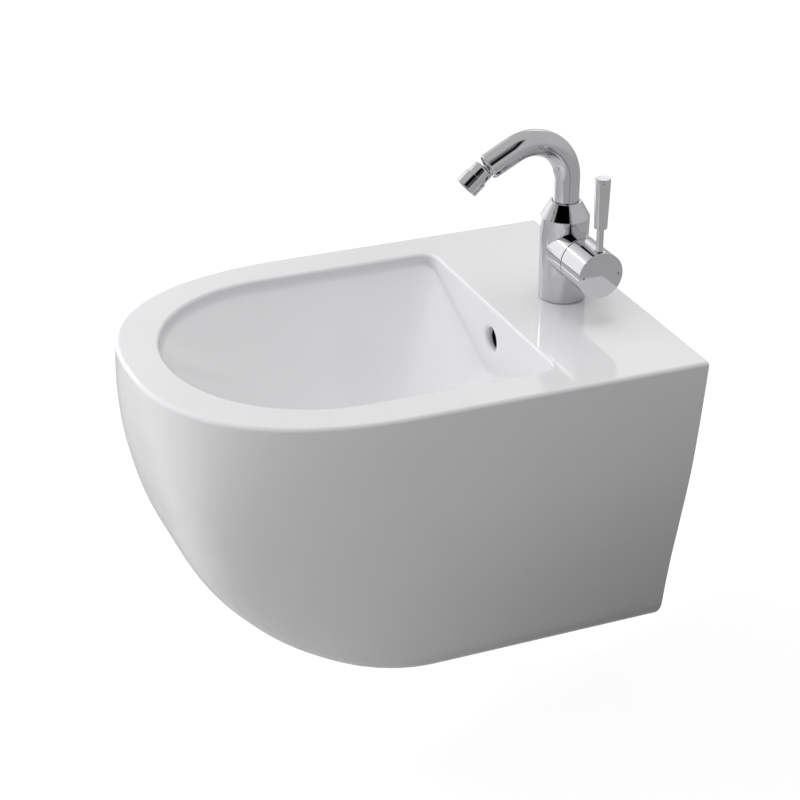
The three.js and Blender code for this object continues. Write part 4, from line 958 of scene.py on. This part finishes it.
@dataclass
class TapBody:
    """The tap's upright column with its coned shoulder and the fixed boss that holds the cartridge."""

    tap: Tap
    base_low: float = 0.0006
    base_radius: float = 0.0222
    shoulder_radius: float = 0.0233
    shoulder_height: float = 0.082
    neck_radius: float = 0.0149
    neck_height: float = 0.097
    edge: float = 0.0006
    shoulder_edge: float = 0.0012
    boss_radius: float = HUB_RADIUS
    boss_reach: float = 0.0374
    boss_edge: float = 0.0003
    bore: float = 0.0177
    bore_from: float = -0.007
    bore_to: float = 0.0262
    thread: float = 0.0197
    socket: float = 0.0108
    socket_low: float = 0.073
    recess: float = 0.0128
    recess_low: float = 0.093
    inlet: tuple[float, float, float] = (0.0046, 0.0112, 0.0053)
    inlet_depth: float = 0.012
    stud_hole: float = 0.0043
    stud_offset: float = 0.009
    stud_depth: float = 0.013
    seal_groove: tuple[float, float] = (0.0196, 0.00125)
    grub_hole: float = 0.0023
    grub_height: float = 0.077
    overrun: float = OVERRUN

    def build(self) -> None:
        """Turns the column and the boss, joins them and bores them out."""
        top, over = self.neck_height, self.overrun
        body = lathe("tap_column", rounded([
            (0, self.base_low), (self.base_radius, self.base_low, self.edge),
            (self.shoulder_radius, self.shoulder_height, self.shoulder_edge),
            (self.neck_radius, top, self.edge), (0, top)]), SIDES_WIDE)
        hub_line = self.tap.foot().inverted() @ self.tap.hub_line()
        boss = place(lathe("boss", rounded([
            (0, 0), (self.boss_radius, 0), (self.boss_radius, self.boss_reach, self.boss_edge),
            (0, self.boss_reach)]), SIDES_WIDE), hub_line)
        for blank in (body, boss):
            blank.data.materials.append(FINISHES[Slot.CHROME].material())
        combine(body, boss, Cut.ADD)
        bore = place(lathe("bore", [
            (self.bore, self.bore_from), (self.bore, self.bore_to), (self.thread, self.bore_to),
            (self.thread, self.boss_reach + over)]), hub_line)
        socket = lathe("socket", [
            (self.socket, self.socket_low), (self.socket, self.recess_low), (self.recess, self.recess_low),
            (self.recess, top - self.edge), (self.recess + self.edge, top + over)])
        # The sunk face and the bore take the near-black metal: painted shade for the gap under the rim of
        # the handle's hub.
        face, sunk = self.boss_radius - 2 * self.boss_edge, self.boss_reach - self.boss_edge
        facing = place(lathe("facing", [(0, sunk), (face, sunk), (face, self.boss_reach + over)]), hub_line)
        for tool in (bore, facing):
            tool.data.materials.append(PAINTED_GAP_SHADE.material())
        carve(body, bore, facing, socket)
        radius, back, spread = self.inlet
        low = self.base_low
        holes = [(radius, self.inlet_depth, -back, side * spread) for side in (-1, 1)]
        holes.append((self.stud_hole, self.stud_depth, self.stud_offset, 0))
        for width, depth, x, y in holes:
            hole = lathe("hole", [(width, low - over), (width, low + depth)], SIDES_TINY)
            carve(body, place(hole, Matrix.Translation((x, y, 0))))
        edge, surface = self.edge, self.shoulder_radius
        grub = lathe("grub_hole", [(self.grub_hole, 0), (self.grub_hole, surface - edge),
                                   (self.grub_hole + 2 * edge, surface + edge)], SIDES_SMALL)
        carve(body, place(grub, Matrix.Translation((0, 0, self.grub_height))
                          @ Matrix.Rotation(-math.pi / 2, 4, "X")))
        middle, half = self.seal_groove
        carve(body, lathe("groove", [(middle - half, low - over), (middle + half, low - over),
                                     (middle + half, low + 2 * half), (middle - half, low + 2 * half)],
                          ring=True))
        polish(place(body, self.tap.foot()))
        dress(body, Slot.CHROME, Body.FIXTURE, "tap_body")


@dataclass
class Spout:
    """The swivelling spout: a shank in the body, a bent tube and its open mouth."""

    tap: Tap
    radius: float = 0.0124
    shank: float = 0.0105
    shank_low: float = 0.0736
    shoulder: float = 0.0946
    groove_depths: tuple[float, ...] = (0.0022, 0.0018, 0.0018)
    groove_lows: tuple[float, ...] = (0.0748, 0.0826, 0.0876)
    groove_widths: tuple[float, ...] = (0.0044, 0.0024, 0.0024)
    mouth_edge: float = 0.0009
    mouth_bore: float = 0.0103
    mouth_depth: float = 0.0091
    bend_steps: int = 56

    def build(self) -> None:
        """Extrudes the tube up out of its shank, spins it round the bend and opens the mouth."""
        tap = self.tap
        profile = [(self.shank, self.shank_low)]
        for depth, low, width in zip(self.groove_depths, self.groove_lows, self.groove_widths):
            profile += [(self.shank, low), (self.shank - depth, low),
                        (self.shank - depth, low + width), (self.shank, low + width)]
        profile += [(self.shank, self.shoulder), (self.radius, self.shoulder)]
        tube = lathe("spout_bend", [*profile, (self.radius, tap.bend_height)])
        bpy.ops.object.mode_set(mode="EDIT")
        mesh = bmesh.from_edit_mesh(tube.data)
        top = max(mesh.faces, key=lambda face: face.calc_center_median().z)
        bpy.ops.mesh.select_all(action="DESELECT")
        top.select_set(True)
        bmesh.update_edit_mesh(tube.data)
        bpy.ops.mesh.spin(steps=self.bend_steps, angle=-tap.bend, axis=(1, 0, 0),
                          center=(0, -tap.bend_radius, tap.bend_height))
        ahead = Matrix.Rotation(tap.bend, 3, "X") @ Vector((0, 0, 1))
        self.extend(tube, ahead, tap.tail - self.mouth_edge, 1)
        self.extend(tube, ahead, self.mouth_edge, 1 - self.mouth_edge / self.radius)
        self.extend(tube, ahead, 0, self.mouth_bore / (self.radius - self.mouth_edge))
        self.extend(tube, ahead, -self.mouth_depth, 1)
        bpy.ops.mesh.select_all(action="SELECT")
        bpy.ops.mesh.normals_make_consistent(inside=False)
        polish(place(tube, tap.foot()))
        dress(tube, Slot.CHROME, Body.SPOUT, "spout_tube")

    def extend(self, tube: bpy.types.Object, ahead: Vector, length: float, share: float) -> None:
        """In edit mode, extrudes the selected end along the tail and scales it about its middle."""
        bpy.ops.mesh.extrude_region_move(TRANSFORM_OT_translate={"value": ahead * length})
        mesh = bmesh.from_edit_mesh(tube.data)
        end = [vert.co for vert in mesh.verts if vert.select]
        middle = sum(end, Vector()) / len(end)
        bpy.ops.transform.resize(value=(share,) * 3, center_override=middle)


@dataclass
class Nozzle:
    """The ball-jointed nozzle: its collar, the shell screwed on it and the aerator inside."""

    tap: Tap
    collar: float = 0.010
    rear: float = -0.0052
    rear_radius: float = 0.0074
    front: float = 0.0054
    inner: float = 0.00822
    spigot: float = 0.0092
    spigot_length: float = 0.003
    shell: float = 0.0114
    shell_gap: float = 0.0003
    shell_length: float = 0.014
    shell_wall: float = 0.0019
    shell_edge: float = 0.0008
    lip: float = 0.0012
    lip_width: float = 0.0011
    insert_length: float = 0.008
    insert_recess: float = 0.0014
    hole: float = 0.0009
    hole_rings: tuple[tuple[float, int], ...] = ((0.0, 1), (0.0028, 6), (0.0056, 12))

    def build(self) -> None:
        """Turns the collar, the shell and the aerator insert."""
        edge = self.collar - self.rear_radius
        rear_angle = math.degrees(math.asin(-self.rear / self.inner))
        collar = lathe("nozzle_ring", [
            *arc(self.rear_radius, self.rear + edge, edge, -90, 0, steps=8), (self.collar, self.front),
            (self.spigot, self.front), (self.spigot, self.front + self.spigot_length),
            (self.inner, self.front + self.spigot_length), *arc(0, 0, self.inner, 0, -rear_angle, steps=8)],
            ring=True)
        low = self.front + self.shell_gap
        high = low + self.shell_length
        cavity = self.shell - self.shell_wall
        mouth = cavity - self.lip_width
        shell = lathe("nozzle_shell", rounded([
            (cavity, low), (self.shell, low, self.shell_edge / 2), (self.shell, high, self.shell_edge),
            (mouth, high, self.shell_edge / 3), (mouth, high - self.lip), (cavity, high - self.lip)]),
            ring=True)
        top = high - self.shell_gap - self.lip
        radius = cavity - self.shell_gap
        rim = radius - self.lip_width
        insert = lathe("aerator", [
            (radius, top - self.insert_length), (radius, top), (rim, top),
            (rim, top - self.insert_recess)])
        for ring, count in self.hole_rings:
            for k in range(count):
                angle = 2 * math.pi * k / count
                hole = lathe("hole", [(self.hole, top - 2 * self.insert_length), (self.hole, high)],
                             SIDES_PINHOLE)
                carve(insert, place(hole, Matrix.Translation(
                    (ring * math.cos(angle), ring * math.sin(angle), 0))))
        pieces = ((collar, Slot.CHROME, "nozzle_collar"), (shell, Slot.CHROME, "aerator_shell"),
                  (insert, Slot.GREY_PLASTIC, "aerator_insert"))
        for piece, slot, node in pieces:
            polish(place(piece, self.tap.nozzle_line()))
            dress(piece, slot, Body.NOZZLE, node)


@dataclass
class Handle:
    """The handle: a hub over the cartridge, its lever and the two temperature marks."""

    tap: Tap
    radius: float = HUB_RADIUS
    rear: float = 0.0386
    front: float = 0.0758
    skirt: float = 0.0011
    edge: float = 0.0005
    cavity: float = 0.056
    core: float = 0.009
    core_rear: float = 0.052
    spindle: float = 0.0086
    spindle_end: float = 0.0663
    lever: float = 0.070
    stem: float = 0.0033
    stem_sink: float = 0.009
    stem_shown: float = 0.0229
    stem_grip: float = 0.008
    stem_gap: float = 0.0003
    counterbore: float = 0.0011
    grip_length: float = 0.048
    grip_foot: float = 0.0061
    grip_head: float = 0.0072
    grip_edge: float = 0.0011
    groove: float = 0.00035
    groove_drop: float = 0.0032
    screw: float = 0.0024
    screw_at: float = 0.060
    mark: float = 0.0009
    mark_depth: float = 0.0016
    mark_spread: float = 0.0176
    mark_shares: tuple[float, float] = (0.8, 0.4)
    rear_edge: float = 0.0002
    overrun: float = OVERRUN

    def drill(self, radius: float, start: float, end: float, along: float) -> bpy.types.Object:
        """A drill across the hub, from one height to another above its axis."""
        up = Matrix.Translation((0, 0, along)) @ Matrix.Rotation(-math.pi / 2, 4, "Y")
        return place(lathe("drill", [(radius, start), (radius, end)], SIDES_SMALL), up)

    def build_hub(self) -> None:
        """Turns the hub and bores it for the spindle, the lever, its screw and the marks."""
        inner, over = self.radius - self.skirt, self.overrun
        hub = lathe("handle_cap", rounded([
            (0, self.core_rear), (self.core, self.core_rear), (self.core, self.cavity),
            (inner, self.cavity), (inner, self.rear), (self.radius, self.rear, self.rear_edge),
            (self.radius, self.front, self.edge), (0, self.front)]), SIDES_WIDE)
        deselect()
        depth = self.spindle_end - self.core_rear + over
        bpy.ops.mesh.primitive_cube_add(size=1, location=(0, 0, self.spindle_end - depth / 2),
                                        scale=(self.spindle, self.spindle, depth))
        square = new_piece("square")
        place(square, square.matrix_world.copy())
        hole, top = self.stem + self.stem_gap, self.radius + over
        carve(hub, square,
              self.drill(hole, self.radius - self.stem_sink - self.stem_gap, top, self.lever),
              self.drill(hole + self.counterbore, self.radius - self.counterbore, top, self.lever),
              self.drill(self.screw, -top, 0, self.screw_at))
        for side in (-1, 1):
            radius = self.mark + self.stem_gap / 2
            well = lathe("well", [(radius, self.front - self.mark_depth), (radius, self.front + over)],
                         SIDES_WELL)
            carve(hub, place(well, Matrix.Translation((0, side * self.mark_spread, 0))))
        polish(place(hub, self.tap.hub_line()))
        dress(hub, Slot.CHROME, Body.HANDLE, "handle_hub")

    def build_lever(self) -> None:
        """Turns the lever's stem and its grip."""
        foot = self.radius + self.stem_shown
        top = foot + self.grip_length
        groove = top - self.groove_drop
        cut = self.groove
        stem = lathe("lever_rod", rounded([
            (0, self.radius - self.stem_sink), (self.stem, self.radius - self.stem_sink, cut),
            (self.stem, foot + self.stem_grip, cut), (0, foot + self.stem_grip)]), SIDES_MEDIUM)
        hole = self.stem + self.stem_gap
        grip = lathe("lever_handle", rounded([
            (0, foot + self.stem_grip + self.stem_gap), (hole, foot + self.stem_grip + self.stem_gap),
            (hole, foot), (self.grip_foot, foot, cut), (self.grip_head, groove - cut),
            (self.grip_head - cut, groove, cut / 2), (self.grip_head, groove + cut),
            (self.grip_head, top, self.grip_edge), (0, top)]))
        lever = self.tap.hub_line() @ Matrix.Translation((0, 0, self.lever))
        up = lever @ Matrix.Rotation(-math.pi / 2, 4, "Y")
        for piece, node in ((stem, "lever_stem"), (grip, "lever_grip")):
            polish(place(piece, up))
            dress(piece, Slot.CHROME, Body.HANDLE, node)

    def build_marks(self) -> None:
        """Turns the two enamelled temperature marks, a little crowned."""
        low, top, rise = self.front - self.mark_depth + self.stem_gap, self.front, self.stem_gap / 2
        shoulder, crown = (share * self.mark for share in self.mark_shares)
        for name, side, slot in (("cold", -1, Slot.BLUE_ENAMEL), ("hot", 1, Slot.RED_ENAMEL)):
            dot = lathe(f"{name}_dot", [(self.mark, low), (self.mark, top - rise),
                                        (shoulder, top - rise / 3), (crown, top)], SIDES_TINY)
            place(dot, self.tap.hub_line() @ Matrix.Translation((0, side * self.mark_spread, 0)))
            polish(dot, CROWN_ANGLE)
            dress(dot, slot, Body.HANDLE, f"{name}_mark")

    def build(self) -> None:
        """Builds the hub, the lever and the marks."""
        self.build_hub()
        self.build_lever()
        self.build_marks()


# Carried-over pieces


@dataclass
class InnerPieces:
    """The seals, fixings and cartridge pieces that keep the frame's own shape."""

    slots: dict[str, Slot] = field(default_factory=dict)
    plated: tuple[str, ...] = ("nozzle_adapter",)

    def build(self) -> None:
        """Gives each piece of the frame the finish of its slot."""
        for part in frame["record"]["subparts"]:
            slot = Slot.CHROME if part["node"] in self.plated else Slot(part["material_slot"])
            self.slots[part["node"]] = slot
        for name, node in frame["nodes"].items():
            for holder in node.material_slots:
                holder.material = FINISHES[self.slots[name]].material()
        LOG.info("%d pieces of the frame finished", len(self.slots))


# Studio


@dataclass(frozen=True)
class Card:
    """A soft-edged card of plain light that only polished surfaces mirror.

    It stands at an azimuth and elevation in degrees from the tap and faces it. Light 0 is black.
    Fades are the shares of its left, right, lower and upper half over which it thins out.
    """

    name: str
    azimuth: float
    elevation: float
    distance: float
    size: tuple[float, float]
    light: float
    fades: tuple[float, float, float, float] = (0.3, 0.3, 0.3, 0.3)

    def cover(self, tree: bpy.types.NodeTree) -> bpy.types.NodeSocket:
        """Nodes for how well the card covers what is behind it, from 0 at its edges to 1."""
        where = tree.nodes.new("ShaderNodeTexCoord")
        split = tree.nodes.new("ShaderNodeSeparateXYZ")
        tree.links.new(where.outputs["Object"], split.inputs["Vector"])
        cover = None
        for fade, axis, operation in zip(self.fades, "XXYY", ("ADD", "SUBTRACT") * 2):
            inward = tree.nodes.new("ShaderNodeMath")
            inward.operation = operation
            inward.inputs[0].default_value = 0.5
            tree.links.new(split.outputs[axis], inward.inputs[1])
            edge = tree.nodes.new("ShaderNodeMapRange")
            edge.interpolation_type = "SMOOTHSTEP"
            edge.inputs["From Max"].default_value = fade
            tree.links.new(inward.outputs["Value"], edge.inputs["Value"])
            if cover is None:
                cover = edge.outputs["Result"]
                continue
            both = tree.nodes.new("ShaderNodeMath")
            both.operation = "MULTIPLY"
            tree.links.new(cover, both.inputs[0])
            tree.links.new(edge.outputs["Result"], both.inputs[1])
            cover = both.outputs["Value"]
        return cover

    def build(self, centre: Vector) -> None:
        """Stands the card in its place."""
        material = new_material(self.name)
        tree = material.node_tree
        glow = tree.nodes.new("ShaderNodeEmission")
        glow.inputs["Strength"].default_value = self.light
        clear = tree.nodes.new("ShaderNodeBsdfTransparent")
        mix = tree.nodes.new("ShaderNodeMixShader")
        tree.links.new(self.cover(tree), mix.inputs["Fac"])
        tree.links.new(clear.outputs["BSDF"], mix.inputs[1])
        tree.links.new(glow.outputs["Emission"], mix.inputs[2])
        tree.links.new(mix.outputs["Shader"], tree.nodes["Material Output"].inputs["Surface"])
        around, up = math.radians(self.azimuth), math.radians(self.elevation)
        away = Vector((math.cos(around) * math.cos(up), math.sin(around) * math.cos(up), math.sin(up)))
        deselect()
        bpy.ops.mesh.primitive_plane_add(size=1)
        card = new_piece(self.name)
        turn = (-away).to_track_quat("Z", "Y").to_matrix().to_4x4()
        spot = Matrix.Translation(centre + away * self.distance)
        card.matrix_world = spot @ turn @ Matrix.Diagonal((*self.size, 1, 1))
        card.data.materials.append(material)
        only_in_mirrors(card)


def only_in_mirrors(sheet: bpy.types.Object) -> None:
    """Makes a sheet of the studio that polished surfaces show and nothing else does."""
    sheet.visible_camera = False
    sheet.visible_diffuse = False
    sheet.visible_shadow = False


@dataclass(frozen=True)
class Flag:
    """A black sheet that keeps light off a side of the object and isn't seen or mirrored."""

    name: str
    spot: tuple[float, float, float]
    size: tuple[float, float]
    turns: tuple[float, float, float]
    casts: bool

    def build(self) -> None:
        """Stands the sheet in its place."""
        material = new_material(self.name)
        shader = material.node_tree.nodes["Principled BSDF"]
        shader.inputs["Base Color"].default_value = (0, 0, 0, 1)
        shader.inputs["Roughness"].default_value = 1
        deselect()
        turns = [math.radians(turn) for turn in self.turns]
        bpy.ops.mesh.primitive_plane_add(size=1, location=self.spot, rotation=turns, scale=(*self.size, 1))
        flag = new_piece(self.name)
        flag.scale = (*self.size, 1)
        flag.data.materials.append(material)
        flag.visible_camera = False
        flag.visible_glossy = False
        flag.visible_shadow = self.casts


@dataclass(frozen=True)
class Lamp:
    """A soft rectangular lamp that lights the object and isn't mirrored."""

    name: str
    spot: tuple[float, float, float]
    size: tuple[float, float]
    power: float

    def build(self, target: Vector) -> None:
        """Hangs the lamp in its place, looking at a target."""
        data = bpy.data.lights.new(self.name, "AREA")
        data.shape, data.energy = "RECTANGLE", self.power
        data.size, data.size_y = self.size
        lamp = bpy.data.objects.new(self.name, data)
        bpy.context.scene.collection.objects.link(lamp)
        lamp.matrix_world = looking(Vector(self.spot), target)
        lamp.visible_glossy = False


@dataclass
class Studio:
    """A white studio: floor, soft lamps, black flags, a grey tent with cards, and the camera."""

    floor_level: float = -0.325
    floor_size: float = 14.0
    floor_colour: Colour = (0.62, 0.62, 0.62)
    floor_own_light: float = 0.8
    floor_seen: float = 1.2
    sky_diffuse: float = 0.48
    sky_seen: float = 1.0
    tent_radius: float = 4.0
    tent_light: tuple[float, float] = (0.47, 0.62)
    tent_light_top: float = 1.0
    tent_lift: float = 0.003
    lamps: tuple[Lamp, ...] = (
        Lamp("top_lamp", (-0.1, -0.4, 2.5), (1.8, 1.8), 23),
        Lamp("front_lamp", (-0.9, -1.9, 0.75), (1.4, 1.2), 21.5),
        Lamp("low_lamp", (-1.4, -1.3, -0.25), (1.6, 0.12), 6),
    )
    flags: tuple[Flag, ...] = (
        Flag("black_flag", (0.46, 0.16, -0.2), (0.24, 0.5), (0, 90, 38), True),
        Flag("black_cloth", (0.32, 0.06, -0.315), (0.6, 0.5), (0, 0, 20), False),
    )
    target: tuple[float, float, float] = (0.0077, -0.2267, -0.0011)
    eye: tuple[float, float, float] = (1.663, -0.928, 0.922)
    roll: float = math.radians(0.47)
    lens: float = 97.29
    sensor: float = 36.0
    tap_middle: tuple[float, float, float] = (0.0, -0.06, 0.16)
    cards: tuple[Card, ...] = (
        Card("white_card", -155, 10, 2.0, (3.2, 2.8), 1.28, (0.45, 0.45, 0.2, 0.45)),
        Card("bright_strip", -150, 24, 1.9, (0.7, 0.16), 9.0, (0.5, 0.5, 0.5, 0.5)),
        Card("white_sheet", -172, -24, 1.15, (2.8, 0.85), 1.3),
        Card("pale_card", 147, 27, 2.6, (1.5, 1.8), 1.35, (0.5, 0.5, 0.5, 0.5)),
        Card("black_card", -46, 37, 2.3, (3.5, 1.15), 0.0, (0.2, 0.2, 0.35, 0.35)),
        Card("black_strip", -20, 40, 2.2, (1.6, 3.2), 0.0, (0.2, 0.75, 0.25, 0.25)),
    )

    def camera(self) -> None:
        """Sets the camera to the photograph's view."""
        data = bpy.data.cameras.new("camera")
        data.lens, data.sensor_width = self.lens, self.sensor
        data.clip_end = 4 * self.floor_size
        camera = bpy.data.objects.new("camera", data)
        bpy.context.scene.collection.objects.link(camera)
        aim = looking(Vector(self.eye), Vector(self.target))
        camera.matrix_world = aim @ Matrix.Rotation(self.roll, 4, "Z")
        bpy.context.scene.camera = camera

    def seen(self, tree: bpy.types.NodeTree) -> bpy.types.NodeSocket:
        """Nodes that give 1 to the camera, to mirrors and through glass, and 0 to all other rays."""
        rays = tree.nodes.new("ShaderNodeLightPath")
        seen = rays.outputs["Is Camera Ray"]
        for kind in ("Is Glossy Ray", "Is Transmission Ray"):
            either = tree.nodes.new("ShaderNodeMath")
            either.operation = "MAXIMUM"
            tree.links.new(seen, either.inputs[0])
            tree.links.new(rays.outputs[kind], either.inputs[1])
            seen = either.outputs["Value"]
        return seen

    def world(self) -> None:
        """Fills the room with even light, white where it is seen or mirrored."""
        world = bpy.data.worlds.new("room")
        bpy.context.scene.world = world
        world.use_nodes = True
        tree = world.node_tree
        sky = tree.nodes["Background"]
        strength = tree.nodes.new("ShaderNodeMapRange")
        strength.inputs["To Min"].default_value = self.sky_diffuse
        strength.inputs["To Max"].default_value = self.sky_seen
        tree.links.new(self.seen(tree), strength.inputs["Value"])
        tree.links.new(strength.outputs["Result"], sky.inputs["Strength"])
        sky.inputs["Color"].default_value = (1, 1, 1, 1)

    def floor(self) -> None:
        """Lays a pale floor that is seen white but keeps the object's shadow."""
        deselect()
        bpy.ops.mesh.primitive_plane_add(size=self.floor_size, location=(0, 0, self.floor_level))
        floor = new_piece("floor")
        place(floor, floor.matrix_world.copy())
        material = new_material("pale_floor")
        tree = material.node_tree
        shader = tree.nodes["Principled BSDF"]
        shader.inputs["Base Color"].default_value = (*self.floor_colour, 1)
        shader.inputs["Roughness"].default_value = 1
        glow = tree.nodes.new("ShaderNodeEmission")
        glow.inputs["Strength"].default_value = self.floor_seen
        share = tree.nodes.new("ShaderNodeMath")
        share.operation = "MULTIPLY"
        share.inputs[1].default_value = self.floor_own_light
        mix = tree.nodes.new("ShaderNodeMixShader")
        tree.links.new(self.seen(tree), share.inputs[0])
        tree.links.new(share.outputs["Value"], mix.inputs["Fac"])
        tree.links.new(shader.outputs["BSDF"], mix.inputs[1])
        tree.links.new(glow.outputs["Emission"], mix.inputs[2])
        tree.links.new(mix.outputs["Shader"], tree.nodes["Material Output"].inputs["Surface"])
        floor.data.materials.append(material)

    def tent(self) -> None:
        """Pitches a round grey tent with a groundsheet, a little darker below than above."""
        deselect()
        bpy.ops.mesh.primitive_uv_sphere_add(segments=48, ring_count=24, radius=self.tent_radius)
        tent = new_piece("tent")
        bpy.ops.object.mode_set(mode="EDIT")
        bpy.ops.mesh.select_all(action="SELECT")
        bpy.ops.mesh.bisect(plane_co=(0, 0, self.floor_level + self.tent_lift), plane_no=(0, 0, 1),
                            use_fill=True, clear_inner=True)
        bpy.ops.object.mode_set(mode="OBJECT")
        material = new_material("tent_cloth")
        tree = material.node_tree
        where = tree.nodes.new("ShaderNodeTexCoord")
        split = tree.nodes.new("ShaderNodeSeparateXYZ")
        rise = tree.nodes.new("ShaderNodeMapRange")
        rise.inputs["From Min"].default_value = self.floor_level
        rise.inputs["From Max"].default_value = self.tent_light_top
        rise.inputs["To Min"].default_value, rise.inputs["To Max"].default_value = self.tent_light
        glow = tree.nodes.new("ShaderNodeEmission")
        tree.links.new(where.outputs["Object"], split.inputs["Vector"])
        tree.links.new(split.outputs["Z"], rise.inputs["Value"])
        tree.links.new(rise.outputs["Result"], glow.inputs["Strength"])
        tree.links.new(glow.outputs["Emission"], tree.nodes["Material Output"].inputs["Surface"])
        tent.data.materials.append(material)
        only_in_mirrors(tent)

    def build(self) -> None:
        """Builds the room, its lamps and cards, and the camera."""
        self.world()
        self.floor()
        self.tent()
        for flag in self.flags:
            flag.build()
        for lamp in self.lamps:
            lamp.build(Vector(self.target))
        for card in self.cards:
            card.build(Vector(self.tap_middle))
        self.camera()
        bpy.context.scene.view_settings.view_transform = "Standard"


def main() -> None:
    """Builds every piece in order, dresses the frame and sets the studio round it."""
    logging.basicConfig(level=logging.INFO, format="%(name)s: %(message)s")
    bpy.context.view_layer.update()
    tap = Tap()
    builders: list[Callable[[], None]] = [
        InnerPieces().build, CeramicBody().build, WasteFitting().build, TapBody(tap).build,
        Spout(tap).build, Nozzle(tap).build, Handle(tap).build, Studio().build,
    ]
    for build in builders:
        build()


if __name__ == "__main__":
    main()
